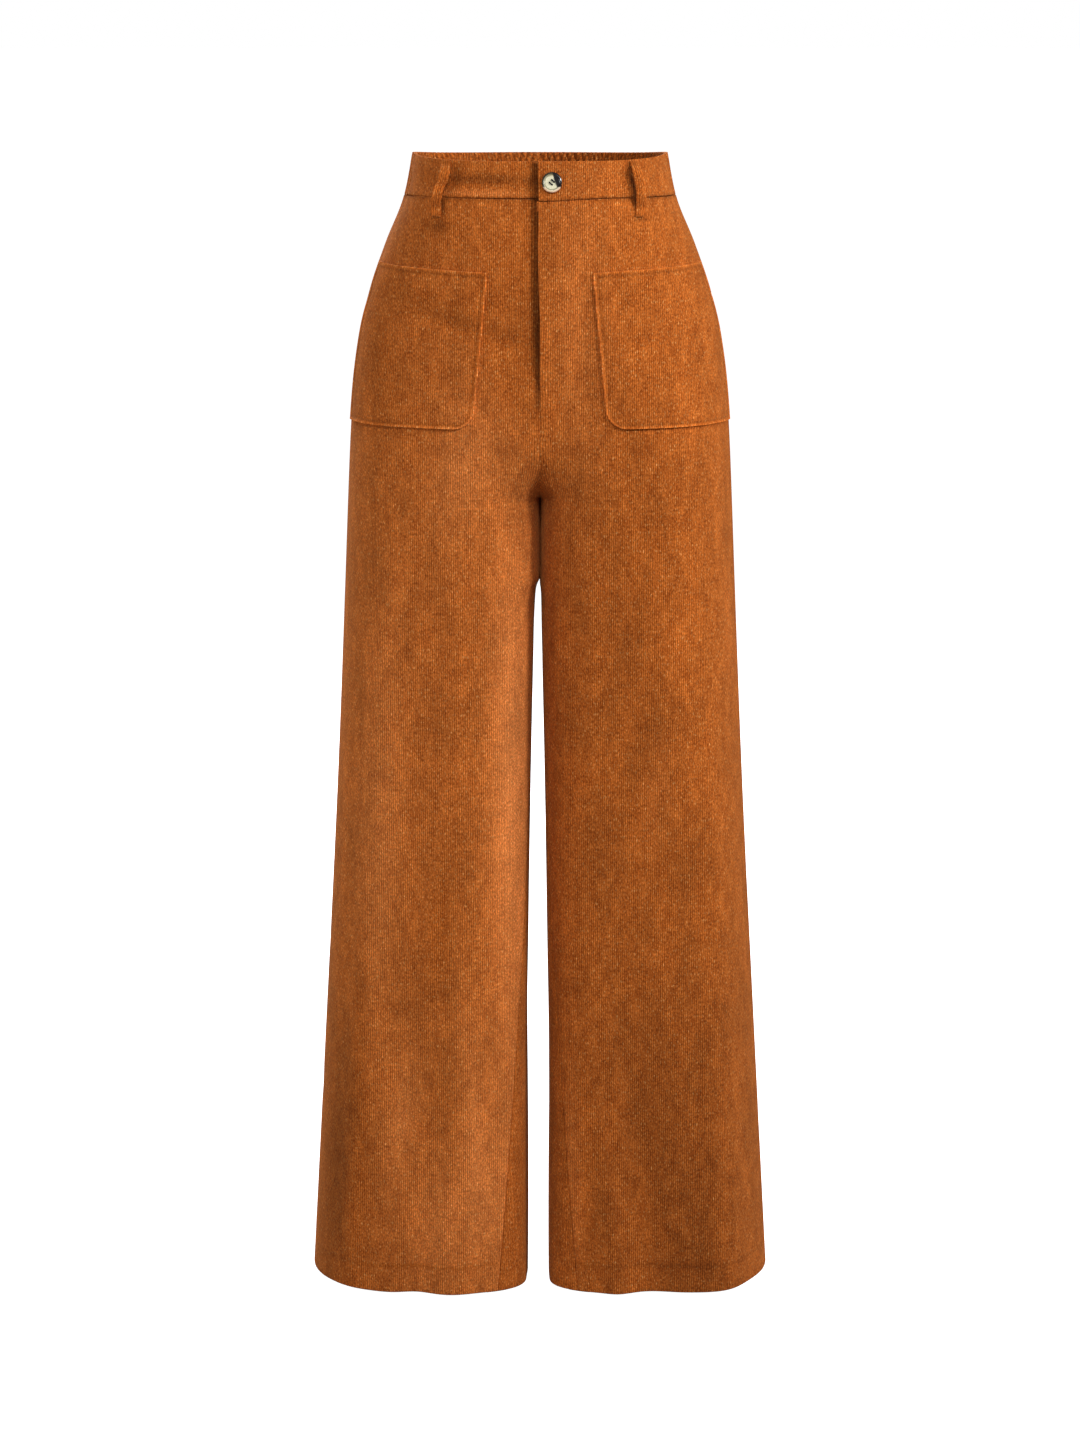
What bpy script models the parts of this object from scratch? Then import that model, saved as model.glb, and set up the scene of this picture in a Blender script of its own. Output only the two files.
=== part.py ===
"""High-waisted wide-leg corduroy trousers, filled out as they are worn.

Metres, +Z up. The origin is the middle of the waist opening, level with its top edge at the sides. The front
faces -Y and the wearer's left is +X. A level is a distance down from the waist. The form is the outer face
of the cloth: a half section at each level, from the centre front or the inseam round the side to the centre
back. Every piece of cloth is a wall laid on that form.
"""
import math
from collections import namedtuple

import bmesh
import bpy
import numpy as np
from mathutils import Matrix, Vector

# Driving sizes
LENGTH = 1.05
BAND_DEEP = 0.0375
CROTCH_LEVEL = 0.308
FRONT_CURVE_LEVEL = 0.245
BACK_CURVE_LEVEL = 0.200
FRONT_DIP = 0.005
BACK_DIP = 0.003
CLOTH = 0.0020
BAND_CLOTH = 0.0026
SEAM_GAP = 0.0003
HALF_GAP = SEAM_GAP / 2

# The form: half width, reach of the front and back, place of the widest point, and how far from the centre
# the front and the back reach furthest
Section = namedtuple("Section", "level half_width front back widest_y front_peak back_peak")
SECTIONS = (
    Section(0.000, 0.1143, 0.0900, 0.0960, 0.000, 0.000, 0.000),
    Section(0.036, 0.1215, 0.0940, 0.1020, 0.001, 0.000, 0.000),
    Section(0.080, 0.1398, 0.0985, 0.1120, 0.004, 0.003, 0.010),
    Section(0.120, 0.1541, 0.1010, 0.1190, 0.006, 0.010, 0.025),
    Section(0.160, 0.1641, 0.1025, 0.1235, 0.008, 0.024, 0.042),
    Section(0.210, 0.1707, 0.1030, 0.1245, 0.008, 0.046, 0.062),
    Section(0.260, 0.1741, 0.1030, 0.1220, 0.007, 0.070, 0.078),
    Section(0.310, 0.1765, 0.1020, 0.1180, 0.006, 0.085, 0.088),
    Section(0.400, 0.1805, 0.1010, 0.1100, 0.005, 0.092, 0.095),
    Section(0.580, 0.1893, 0.1000, 0.0980, 0.004, 0.094, 0.100),
    Section(0.820, 0.2033, 0.1000, 0.0840, 0.002, 0.096, 0.106),
    Section(1.050, 0.2170, 0.1000, 0.0720, 0.000, 0.100, 0.112),
)
# The inner side of a leg below the crotch
Inner = namedtuple("Inner", "level x y inseam_turn roundness")
INNERS = (
    Inner(0.308, 0.0004, -0.020, 0.000, 4.2),
    Inner(0.360, 0.0007, -0.023, 0.002, 3.6),
    Inner(0.404, 0.0028, -0.026, 0.004, 3.2),
    Inner(0.460, 0.0041, -0.030, 0.007, 3.0),
    Inner(0.573, 0.0065, -0.036, 0.014, 2.8),
    Inner(0.727, 0.0089, -0.043, 0.024, 2.7),
    Inner(0.824, 0.0104, -0.048, 0.031, 2.6),
    Inner(1.050, 0.0110, -0.058, 0.046, 2.6),
)
GAP_LEAN = 0.0021
GAP_LEAN_RUN = 0.130
OUTER_ROUNDNESS = 2.25
SIDE_SEAM_FORWARD = 0.022
# Where the row of cloth through the crotch point meets the side seam
CROTCH_ROW_AT_SIDE = 0.360

# Laps at the centre front: the left side lies on the right side
FLY_BOTTOM = 0.213
Lean = namedtuple("Lean", "level x")
FLY_LEANS = (
    Lean(0.000, -0.0020),
    Lean(0.040, -0.0026),
    Lean(0.110, -0.0012),
    Lean(0.200, 0.0015),
    Lean(0.246, 0.0000),
)
FLY_RISE = 0.0012
FLY_SINK = 0.0008
FLY_WIDE = 0.0180
FLY_FADE = 0.0350
BAND_RISE = 0.0016
BAND_SINK = 0.0013
LAP_FLAT = 0.0300
SINK_START = 0.0040
SINK_RUN = 0.0260
# Lengths past the centre front of the columns of each lap of the waistband, and where its even columns start
UNDER_LAP_COLUMNS = (-0.0240, -0.0120, 0.0040)
OVER_LAP_COLUMNS = (-0.0020, 0.0060)
BAND_PAST_LAP = 0.0140

# Soft folds: which side (-1 the wearer's right), front or back, place across the panel from the inner edge
# (0) to the side seam (1) at the top and the bottom of the fold, half width and height out of the form
Fold = namedtuple("Fold", "side face top bottom share_top share_bottom half_width height")
FOLDS = (
    Fold(-1, "front", 0.42, 0.86, 0.36, 0.62, 0.026, -0.0045),
    Fold(-1, "front", 0.50, 1.10, 0.16, 0.20, 0.022, 0.0025),
    Fold(-1, "front", 0.70, 1.20, 0.80, 0.84, 0.024, -0.0030),
    Fold(1, "front", 0.40, 0.80, 0.55, 0.48, 0.030, -0.0022),
    Fold(1, "front", 0.78, 1.20, 0.34, 0.30, 0.026, 0.0035),
    Fold(1, "front", 0.86, 1.16, 0.52, 0.56, 0.022, -0.0040),
    Fold(-1, "back", 0.30, 0.90, 0.45, 0.40, 0.030, -0.0050),
    Fold(-1, "back", 0.46, 1.16, 0.74, 0.80, 0.026, -0.0040),
    Fold(-1, "back", 0.60, 1.20, 0.22, 0.20, 0.024, 0.0040),
    Fold(1, "back", 0.28, 0.84, 0.50, 0.44, 0.032, -0.0045),
    Fold(1, "back", 0.52, 1.20, 0.72, 0.76, 0.028, -0.0045),
    Fold(1, "back", 0.66, 1.14, 0.26, 0.20, 0.024, 0.0035),
)

# How near a seam the folds fade out
FOLD_FADE = 0.030

# Patch pockets, the same on both sides
POCKET_TOP_INNER = 0.1020
POCKET_TOP_OUTER = 0.0965
POCKET_BOTTOM = 0.2390
POCKET_INNER_TOP = 0.0465
POCKET_INNER_BOTTOM = 0.0600
POCKET_CORNER = 0.0170
POCKET_TO_SIDE_SEAM = 0.0060
POCKET_CLOTH = 0.0018
POCKET_OFF_PANEL = 0.0005
POCKET_STRAIGHT_SHARE = 0.86
POCKET_STRAIGHT_ROWS = 7
POCKET_CORNER_ROWS = (0.4, 0.7, 0.9, 1.0)
POCKET_CROWDING = 1.35

# Belt loops
LOOP_WIDE = 0.0090
LOOP_CLOTH = 0.0016
LOOP_FRONT_X = 0.0868
LOOP_BACK_X = 0.0780
Stand = namedtuple("Stand", "level out")
LOOP_STANDS = (
    Stand(0.0015, 0.0003),
    Stand(0.0050, 0.0012),
    Stand(0.0090, 0.0050),
    Stand(0.0140, 0.0078),
    Stand(0.0240, 0.0082),
    Stand(0.0340, 0.0078),
    Stand(0.0410, 0.0052),
    Stand(0.0465, 0.0015),
    Stand(0.0500, 0.0007),
    Stand(0.0545, 0.0007),
)

# Waist button, its thread and the slit it passes
BUTTON_X = 0.0101
BUTTON_LEVEL = 0.0212
BUTTON_RADIUS = 0.0090
BUTTON_THICK = 0.0030
BUTTON_DISH = 0.0008
# The button's outline: in from its edge and up from its back, to the foot of the rim
BUTTON_PROFILE = (
    (0.0014, 0.0000),
    (0.0003, 0.0008),
    (0.0000, 0.0017),
    (0.0005, 0.0027),
    (0.0011, 0.0030),
    (0.0017, 0.0028),
    (0.0025, 0.0022),
)
BUTTON_HOLE_TURN = 94
BUTTON_HOLE_RADIUS = 0.00080
BUTTON_HOLE_REACH = 0.0021
BUTTON_OFF_BAND = 0.0012
SLIT_LONG = 0.0150
SLIT_HIGH = 0.0034
SLIT_DEEP = 0.0060
SHANK_RADIUS = 0.0012
THREAD_RADIUS = 0.00045
THREAD_LAP = 0.0002
STITCH_HIGH = 0.0009
STITCH_SPREAD = 1.2

# Fly zip
ZIP_TOP = 0.0560
ZIP_BOTTOM = 0.2000
ZIP_RIGHT = 0.0100
ZIP_LEFT = 0.0180
ZIP_LINE = 0.0050
ZIP_DEPTH = 0.0031
ZIP_THICK = 0.0012
ZIP_ROWS = 8
ZIP_COLUMNS = 5
SLIDER_WIDE = 0.0070
SLIDER_TALL = 0.0100
SLIDER_FRONT = 0.0025
SLIDER_BACK = 0.0056
SLIDER_CLEAR = 0.0012
TAB_WIDE = 0.0044
TAB_LONG = 0.0250
TAB_THICK = 0.0009

# How finely the walls are cut, and the form is sampled
PANEL_COLUMNS = 14
BAND_COLUMNS = 12
BAND_ROWS = 3
COLUMN_CROWDING = 0.45
TORSO_ROWS = 14
LEG_ROWS = 12
POCKET_COLUMNS = 15
SECTION_POINTS = 96
ARC_POINTS = 400
LATTICE_DOWN = 0.0005
LATTICE_ACROSS = 0.0010
LATTICE_REACH = 0.460
STEP = 0.0004

# Colour, roughness and metallic value of each material
Finish = namedtuple("Finish", "colour roughness metallic")
FINISHES = {
    "corduroy": Finish((0.38, 0.105, 0.020), 0.85, 0.0),
    "button_shell": Finish((0.72, 0.62, 0.42), 0.30, 0.0),
    "thread": Finish((0.03, 0.022, 0.018), 0.75, 0.0),
    "zip_tape": Finish((0.22, 0.07, 0.02), 0.80, 0.0),
    "zip_metal": Finish((0.55, 0.42, 0.22), 0.35, 1.0),
}


def ease(value):
    """0 to 1 with soft ends."""
    value = np.clip(value, 0.0, 1.0)
    return value * value * (3.0 - 2.0 * value)


def smooth_curve(rows, column, level):
    """A curve without overshoot through one column of a table."""
    levels = np.array([row.level for row in rows])
    values = np.array([getattr(row, column) for row in rows])
    rises = np.diff(values) / np.diff(levels)
    slopes = np.concatenate([rises[:1], np.zeros(len(rises) - 1), rises[-1:]])
    before, after = rises[:-1], rises[1:]
    same = before * after > 0
    slopes[1:-1][same] = 2.0 * before[same] * after[same] / (before[same] + after[same])
    low = int(np.clip(np.searchsorted(levels, level) - 1, 0, len(rises) - 1))
    wide = levels[low + 1] - levels[low]
    t = min(max((level - levels[low]) / wide, 0.0), 1.0)
    return (
        values[low] * (1 + 2 * t) * (1 - t) ** 2
        + values[low + 1] * t * t * (3 - 2 * t)
        + wide * t * (1 - t) * (slopes[low] * (1 - t) - slopes[low + 1] * t)
    )


def quadrant(centre, reach, roundness, start=0.0, end=math.pi / 2):
    """Points of a squared quarter oval, from angle start (on its y side) to end (on its x side)."""
    angle = np.linspace(start, end, SECTION_POINTS)
    x = centre[0] + reach[0] * np.sin(angle) ** (2.0 / roundness)
    y = centre[1] + reach[1] * np.cos(angle) ** (2.0 / roundness)
    return np.stack([x, y], axis=1)


def curve_share(level, start):
    """How far the crotch curve has run in, from 0 at its start level to 1 at the crotch."""
    t = min(max((level - start) / (CROTCH_LEVEL - start), 0.0), 1.0)
    return 1.0 - math.sqrt(1.0 - t * t)


def inner_quarter(peak, inner, run_in, roundness):
    """From the inner edge of a half section out to its front or back peak."""
    reach_y = peak[1] - inner[1]
    if run_in < 1.0:
        cut = max(1.0 - (1.0 - run_in) ** roundness, 1e-9) ** (1.0 / roundness)
        wide = max(peak[0], 1e-5) / cut
        start = math.asin(cut ** (roundness / 2.0))
    else:
        wide = peak[0] - inner[0]
        start = math.pi / 2
    points = quadrant((0.0, inner[1]), (wide, reach_y), roundness, start, 0.0)
    points[:, 0] = peak[0] - points[:, 0]
    return points


def half_section(side, level):
    """The outline from the inner edge round the front, side and back, and how it goes on past its two ends.

    It is mirrored past an end on the centre line, and runs straight on past one on a crotch curve."""
    size = {name: smooth_curve(SECTIONS, name, level) for name in Section._fields[1:]}
    below = level >= CROTCH_LEVEL
    inner_level = max(level, CROTCH_LEVEL)
    lean = GAP_LEAN * float(ease((inner_level - CROTCH_LEVEL) / GAP_LEAN_RUN))
    inner_x = max(smooth_curve(INNERS, "x", inner_level) - side * lean, INNERS[0].x)
    inner = (inner_x if below else 0.0, smooth_curve(INNERS, "y", inner_level))
    roundness = smooth_curve(INNERS, "roundness", inner_level)
    front_peak = (size["front_peak"], -size["front"])
    back_peak = (size["back_peak"], size["back"])
    front_in = 1.0 if below else curve_share(level, FRONT_CURVE_LEVEL)
    back_in = 1.0 if below else curve_share(level, BACK_CURVE_LEVEL)
    wide, side_y = size["half_width"], size["widest_y"]
    parts = [
        inner_quarter(front_peak, inner, front_in, roundness),
        quadrant((front_peak[0], side_y), (wide - front_peak[0], front_peak[1] - side_y), OUTER_ROUNDNESS),
        quadrant((back_peak[0], side_y), (wide - back_peak[0], back_peak[1] - side_y), OUTER_ROUNDNESS)[::-1],
        inner_quarter(back_peak, inner, back_in, roundness)[::-1],
    ]
    points = np.concatenate(parts)
    steps = np.hypot(*np.diff(points, axis=0).T)
    points = points[np.concatenate([[True], steps > 1e-9])]
    return points, front_in == 0.0, back_in == 0.0


class Form:
    """The outer face of the cloth on one side, sampled over levels and over lengths away from the side seam.

    A length away is below 0 on the front and above 0 on the back."""

    def __init__(self, side):
        self.side = side
        self.levels = np.linspace(0.0, LENGTH, round(LENGTH / LATTICE_DOWN) + 1)
        self.places = np.arange(-LATTICE_REACH, LATTICE_REACH, LATTICE_ACROSS)
        self.seams, self.wholes, rows = [], [], []
        for level in self.levels:
            points, front_mirrored, back_mirrored = half_section(side, level)
            lengths = np.concatenate([[0.0], np.cumsum(np.hypot(*np.diff(points, axis=0).T))])
            seam = lengths[int(np.argmax(points[:, 0]))] - SIDE_SEAM_FORWARD
            along, whole = seam + self.places, lengths[-1]
            if level >= CROTCH_LEVEL:
                along = np.mod(along, whole)
            before, after = np.maximum(-along, 0.0), np.maximum(along - whole, 0.0)
            place = np.clip(along, 0.0, whole) + front_mirrored * before - back_mirrored * after
            x = np.interp(place, lengths, points[:, 0])
            y = np.interp(place, lengths, points[:, 1])
            x = np.where((front_mirrored & (before > 0)) | (back_mirrored & (after > 0)), -x, x)
            y = y + (not front_mirrored) * before - (not back_mirrored) * after
            rows.append(np.stack([x + HALF_GAP, y], axis=1))
            self.seams.append(seam)
            self.wholes.append(whole)
        self.table = np.array(rows)
        self.widths = {face: self.measure_widths(face) for face in ("front", "back")}

    def measure_widths(self, face):
        """The widths of a panel from the side seam to its inner edge, at each of the form's levels."""
        below = self.levels >= CROTCH_LEVEL
        turn = np.array([smooth_curve(INNERS, "inseam_turn", level) for level in self.levels])
        if face == "back":
            return np.array(self.wholes) - self.seams + np.where(below, turn - HALF_GAP, 0.0)
        lean = np.array([smooth_curve(FLY_LEANS, "x", level) for level in self.levels])
        return self.seams - np.where(below, turn + HALF_GAP, self.side * lean)

    def flat(self, level, away):
        """The place in plan at a level and a length away from the side seam."""
        down = np.clip(level / LATTICE_DOWN, 0.0, len(self.levels) - 1.001)
        across = np.clip((away + LATTICE_REACH) / LATTICE_ACROSS, 0.0, len(self.places) - 1.001)
        i, j = down.astype(int), across.astype(int)
        u, v = (down - i)[..., None], (across - j)[..., None]
        table = self.table
        upper = table[i, j] * (1 - v) + table[i, j + 1] * v
        lower = table[i + 1, j] * (1 - v) + table[i + 1, j + 1] * v
        return upper * (1 - u) + lower * u

    def seam(self, level):
        """The length to the side seam from the front's inner edge, or from a leg's innermost point."""
        return np.interp(level, self.levels, self.seams)

    def width(self, face, level):
        """The width of a panel from the side seam to its inner edge."""
        return np.interp(level, self.levels, self.widths[face])

    def height(self, face, level, away):
        """How far the folds and the laps move the cloth out of the plain form."""
        height = fly_height(self.side, face, level, self.seam(level) + away)
        width, from_side = self.width(face, level), np.abs(away)
        fade = ease((width - from_side) / FOLD_FADE) * ease(from_side / FOLD_FADE)
        for fold in FOLDS:
            if (fold.side, fold.face) == (self.side, face):
                t = np.clip((level - fold.top) / (fold.bottom - fold.top), 0.0, 1.0)
                share = fold.share_top + (fold.share_bottom - fold.share_top) * t
                across = (from_side - (1.0 - share) * width) / fold.half_width
                height = height + fade * fold.height * np.sin(np.pi * t) * np.exp(-across * across)
        return height

    def place(self, face, level, away):
        """Points of the outer face."""
        level, away = np.broadcast_arrays(np.asarray(level, float), np.asarray(away, float))
        flat = self.flat(level, away)
        tangent = self.flat(level, away + STEP) - self.flat(level, away - STEP)
        tangent /= np.maximum(np.linalg.norm(tangent, axis=-1, keepdims=True), 1e-12)
        out = np.stack([tangent[..., 1], -tangent[..., 0]], axis=-1)
        flat = flat + out * self.height(face, level, away)[..., None]
        dip = np.where(
            flat[..., 1] < 0,
            FRONT_DIP * ease(-flat[..., 1] / SECTIONS[0].front),
            BACK_DIP * ease(flat[..., 1] / SECTIONS[0].back),
        )
        drop = level + dip * np.maximum(0.0, 1.0 - level / BAND_DEEP)
        return np.stack([self.side * flat[..., 0], flat[..., 1], -drop], axis=-1)

    def normal(self, face, level, away):
        """The way out of the cloth."""
        level, away = np.broadcast_arrays(np.asarray(level, float), np.asarray(away, float))
        step = np.where((level < BAND_DEEP) & (level + STEP >= BAND_DEEP), -STEP, STEP)
        across = self.place(face, level, away + STEP) - self.place(face, level, away - STEP)
        down = (self.place(face, level + step, away) - self.place(face, level, away)) / step[..., None]
        normal = np.cross(down, across) * self.side
        return normal / np.linalg.norm(normal, axis=-1, keepdims=True)

    def offset(self, face, level, away, out):
        """Points moved out of the outer face, or into it where out is below 0."""
        return self.place(face, level, away) + self.normal(face, level, away) * out


def lap_height(side, along, rise, sink, flat):
    """The left side rises over the right side at the centre front, and the right side sinks."""
    if side > 0:
        return rise * (1.0 - ease((along - flat) / flat))
    return -sink * (1.0 - ease((along - SINK_START) / SINK_RUN))


def fly_height(side, face, level, along):
    """The lap of the fly on the front panels and on the band."""
    if face != "front":
        return np.zeros(np.shape(along))
    band = lap_height(side, along, BAND_RISE, BAND_SINK, LAP_FLAT)
    fade = 1.0 - ease((level - FLY_BOTTOM + FLY_FADE) / FLY_FADE)
    fly = fade * lap_height(side, along, FLY_RISE, FLY_SINK, FLY_WIDE)
    return np.where(level < BAND_DEEP, band, fly)


def material(name):
    """A plain Principled material for one piece."""
    finish = FINISHES[name]
    made = bpy.data.materials.new(name)
    made.use_nodes = True
    shader = made.node_tree.nodes["Principled BSDF"]
    shader.inputs["Base Color"].default_value = (*finish.colour, 1.0)
    shader.inputs["Roughness"].default_value = finish.roughness
    shader.inputs["Metallic"].default_value = finish.metallic
    return made


def add_object(name, bm, finish):
    """A named object from a bmesh, with its faces pointing out."""
    bmesh.ops.recalc_face_normals(bm, faces=bm.faces)
    mesh = bpy.data.meshes.new(name)
    bm.to_mesh(mesh)
    bm.free()
    made = bpy.data.objects.new(name, mesh)
    mesh.materials.append(material(finish))
    bpy.context.scene.collection.objects.link(made)
    return made


def wall(outer, inner):
    """A closed wall between two grids of points."""
    rows, columns = outer.shape[:2]
    bm = bmesh.new()
    faces = [[[bm.verts.new(point) for point in row] for row in grid] for grid in (outer, inner)]
    for grid in faces:
        for r in range(rows - 1):
            for c in range(columns - 1):
                bm.faces.new((grid[r][c], grid[r][c + 1], grid[r + 1][c + 1], grid[r + 1][c]))
    rim = [(0, c) for c in range(columns)] + [(r, columns - 1) for r in range(1, rows)]
    rim += [(rows - 1, c) for c in range(columns - 2, -1, -1)] + [(r, 0) for r in range(rows - 2, 0, -1)]
    for (r, c), (s, d) in zip(rim, rim[1:] + rim[:1]):
        bm.faces.new((faces[0][r][c], faces[0][s][d], faces[1][s][d], faces[1][r][c]))
    return bm


def inner_levels(face):
    """Levels of a panel's inner edge: down the centre, round the crotch curve and down the inseam."""
    top = BAND_DEEP + HALF_GAP
    start = FRONT_CURVE_LEVEL if face == "front" else BACK_CURVE_LEVEL
    peak = smooth_curve(SECTIONS, face, start) * (-1 if face == "front" else 1)
    angle = np.linspace(0, math.pi / 2, ARC_POINTS)
    curve = start + (CROTCH_LEVEL - start) * np.sin(angle)
    steps = np.hypot(np.diff(curve), np.diff(np.cos(angle)) * (peak - INNERS[0].y))
    lengths = np.concatenate([[0.0], start - top + np.concatenate([[0.0], np.cumsum(steps)])])
    even = np.linspace(0, lengths[-1], TORSO_ROWS)
    torso = np.interp(even, lengths, np.concatenate([[top], curve]))
    leg = np.linspace(CROTCH_LEVEL, LENGTH, LEG_ROWS)
    return np.concatenate([torso, leg[1:]])


def side_levels():
    """Levels of a panel's side seam, a row for each of the inner edge's."""
    torso = np.linspace(BAND_DEEP + HALF_GAP, CROTCH_ROW_AT_SIDE, TORSO_ROWS)
    leg = np.linspace(CROTCH_ROW_AT_SIDE, LENGTH, LEG_ROWS)
    return np.concatenate([torso, leg[1:]])


def panel_places(form, face):
    """Levels and lengths away from the side seam over a leg panel: rows down, columns from the inner edge."""
    even = np.linspace(0, 1, PANEL_COLUMNS)
    share = even - COLUMN_CROWDING * np.sin(2 * math.pi * even) / (2 * math.pi)
    inner, side = inner_levels(face), side_levels()
    level = side[:, None] + (inner - side)[:, None] * (1 - share) ** 2
    way = -1 if face == "front" else 1
    away = way * (form.width(face, inner)[:, None] * (1 - share) + HALF_GAP * share)
    return level, away


def leg_panel(name, form, face):
    """A front or back panel from the band seam to the hem."""
    level, away = panel_places(form, face)
    outer = form.place(face, level, away)
    inner = form.offset(face, level, away, -CLOTH)
    return add_object(name, wall(outer, inner), "corduroy")


def band_levels():
    """Levels of the waistband, from its top edge to just above its seam, as a column."""
    return np.linspace(0.0, BAND_DEEP - SEAM_GAP, BAND_ROWS)[:, None]


def front_band(name, form, lap):
    """A front half of the waistband, from the columns of its lap at the centre to the side seam."""
    seam = form.seam(band_levels())
    rest = np.linspace(BAND_PAST_LAP, seam[:, 0] - HALF_GAP, BAND_COLUMNS, axis=1)
    along = np.concatenate([np.tile(lap, (BAND_ROWS, 1)), rest], axis=1)
    level, away = np.broadcast_arrays(band_levels(), along - seam)
    grids = (form.place("front", level, away), form.offset("front", level, away, -BAND_CLOTH))
    return add_object(name, wall(*grids), "corduroy")


def back_band(name, forms):
    """The elasticated back of the waistband, from side seam to side seam."""
    grids = []
    for depth in (0.0, -BAND_CLOTH):
        halves = []
        for side in (-1, 1):
            width = forms[side].width("back", band_levels())
            away = HALF_GAP + (width - HALF_GAP) * np.linspace(0, 1, BAND_COLUMNS)
            halves.append(forms[side].offset("back", band_levels(), away, depth))
        middle = (halves[0][:, -1:] + halves[1][:, -1:]) / 2
        grids.append(np.concatenate([halves[0][:, :-1], middle, halves[1][:, -2::-1]], axis=1))
    return add_object(name, wall(*grids), "corduroy")


def pocket_places(form):
    """Levels and lengths away over a pocket: rows down from its top, columns from its rounded inner edge."""
    straight = np.linspace(0, POCKET_STRAIGHT_SHARE, POCKET_STRAIGHT_ROWS)
    corner = np.sin(math.pi / 2 * np.array(POCKET_CORNER_ROWS))
    share = np.concatenate([straight, POCKET_STRAIGHT_SHARE + (1 - POCKET_STRAIGHT_SHARE) * corner])
    across = 1 - np.linspace(1, 0, POCKET_COLUMNS) ** POCKET_CROWDING
    top = POCKET_TOP_INNER + (POCKET_TOP_OUTER - POCKET_TOP_INNER) * across
    level = top + (POCKET_BOTTOM - top) * share[:, None]
    inner = POCKET_INNER_TOP + (POCKET_INNER_BOTTOM - POCKET_INNER_TOP) * share[:, None]
    above = np.clip(POCKET_CORNER - (POCKET_BOTTOM - level), 0.0, POCKET_CORNER)
    inner = inner + POCKET_CORNER - np.sqrt(POCKET_CORNER ** 2 - above ** 2)
    seam = form.seam(level)
    along = inner + (seam - POCKET_TO_SIDE_SEAM - inner) * across
    return level, along - seam


def patch_pocket(name, form):
    """A patch pocket laid on the front panel."""
    level, away = pocket_places(form)
    back = form.offset("front", level, away, POCKET_OFF_PANEL)
    front = form.offset("front", level, away, POCKET_OFF_PANEL + POCKET_CLOTH)
    return add_object(name, wall(front, back), "corduroy")


def away_at_x(form, face, level, x):
    """The length away from the side seam where a section reaches a half width x, on the front or the back."""
    places = np.arange(0.0, 0.22, 0.0005) * (-1 if face == "front" else 1)
    reached = form.flat(np.full(len(places), level), places)[:, 0]
    widest = int(np.argmax(reached))
    return float(np.interp(-x, -reached[widest:], places[widest:]))


def belt_loop(name, form, face, x):
    """A strip that stands off the band, held at the band's top and below its seam."""
    outer, inner = [], []
    for stand in LOOP_STANDS:
        lean = x * smooth_curve(SECTIONS, "half_width", stand.level) / SECTIONS[0].half_width
        away = away_at_x(form, face, stand.level, lean)
        middle = form.place(face, stand.level, away)
        normal = form.normal(face, stand.level, away)
        across = form.place(face, stand.level, away + STEP) - form.place(face, stand.level, away - STEP)
        across *= LOOP_WIDE / 2 / np.linalg.norm(across)
        for edge, out in ((inner, stand.out), (outer, stand.out + LOOP_CLOTH)):
            edge.append([middle + normal * out - across, middle + normal * out + across])
    return add_object(name, wall(np.array(outer), np.array(inner)), "corduroy")


def cloth_frame(form, along, level):
    """A matrix on the front at a length from its inner edge, with +Z out of the cloth and +Y up it."""
    away = along - form.seam(level)
    out = Vector(form.normal("front", level, away))
    ends = form.place("front", level, away + STEP) - form.place("front", level, away - STEP)
    across = Vector(ends).normalized()
    turn = Matrix((across, out.cross(across).normalized(), out)).transposed().to_4x4()
    return Matrix.Translation(Vector(form.place("front", level, away))) @ turn


def round_piece(profile, segments=32):
    """A turned solid from a profile of (radius, height) pairs that starts and ends on the axis."""
    bm = bmesh.new()
    verts = [bm.verts.new((radius, 0.0, height)) for radius, height in profile]
    edges = [bm.edges.new(pair) for pair in zip(verts, verts[1:])]
    bmesh.ops.spin(
        bm, geom=verts + edges, cent=(0, 0, 0), axis=(0, 0, 1), angle=2 * math.pi, steps=segments, use_merge=True
    )
    bmesh.ops.remove_doubles(bm, verts=bm.verts, dist=1e-6)
    return bm


def cylinder(radius, low, high, place=(0.0, 0.0), segments=12):
    """A capped cylinder along Z."""
    bm = bmesh.new()
    bmesh.ops.create_cone(
        bm,
        cap_ends=True,
        segments=segments,
        radius1=radius,
        radius2=radius,
        depth=high - low,
        matrix=Matrix.Translation((place[0], place[1], (low + high) / 2)),
    )
    return bm


def box(low, high):
    """A box between two corners."""
    bm = bmesh.new()
    size = Vector(high) - Vector(low)
    middle = (Vector(high) + Vector(low)) / 2
    bmesh.ops.create_cube(bm, size=1.0, matrix=Matrix.Translation(middle) @ Matrix.Diagonal((*size, 1.0)))
    return bm


def guide(name, bm, frame):
    """A hidden cutter or joining shape."""
    made = add_object(name, bm, "thread")
    made.matrix_world = frame
    made.hide_render = True
    made.display_type = "WIRE"
    return made


def combine(target, other, operation):
    """A Boolean of a target with a hidden shape."""
    modifier = target.modifiers.new(other.name, "BOOLEAN")
    modifier.operation = operation
    modifier.solver = "EXACT"
    modifier.object = other


def hole_places():
    """The four holes of the button: a square turned so that its sides lean."""
    angles = [math.radians(BUTTON_HOLE_TURN + 90 * i) for i in range(4)]
    return [(BUTTON_HOLE_REACH * math.cos(angle), BUTTON_HOLE_REACH * math.sin(angle)) for angle in angles]


def waist_button(frame):
    """A dished button with a rounded rim and four holes."""
    outline = [(BUTTON_RADIUS - inset, BUTTON_OFF_BAND + up) for inset, up in BUTTON_PROFILE]
    profile = [(0.0, outline[0][1]), *outline, (0.0, outline[-1][1])]
    made = add_object("waist_button", round_piece(profile), "button_shell")
    made.matrix_world = frame
    for number, place in enumerate(hole_places()):
        hole = cylinder(BUTTON_HOLE_RADIUS, 0.0, 2 * (BUTTON_OFF_BAND + BUTTON_THICK), place, 10)
        combine(made, guide(f"cut_button_hole_{number}", hole, frame), "DIFFERENCE")


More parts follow.
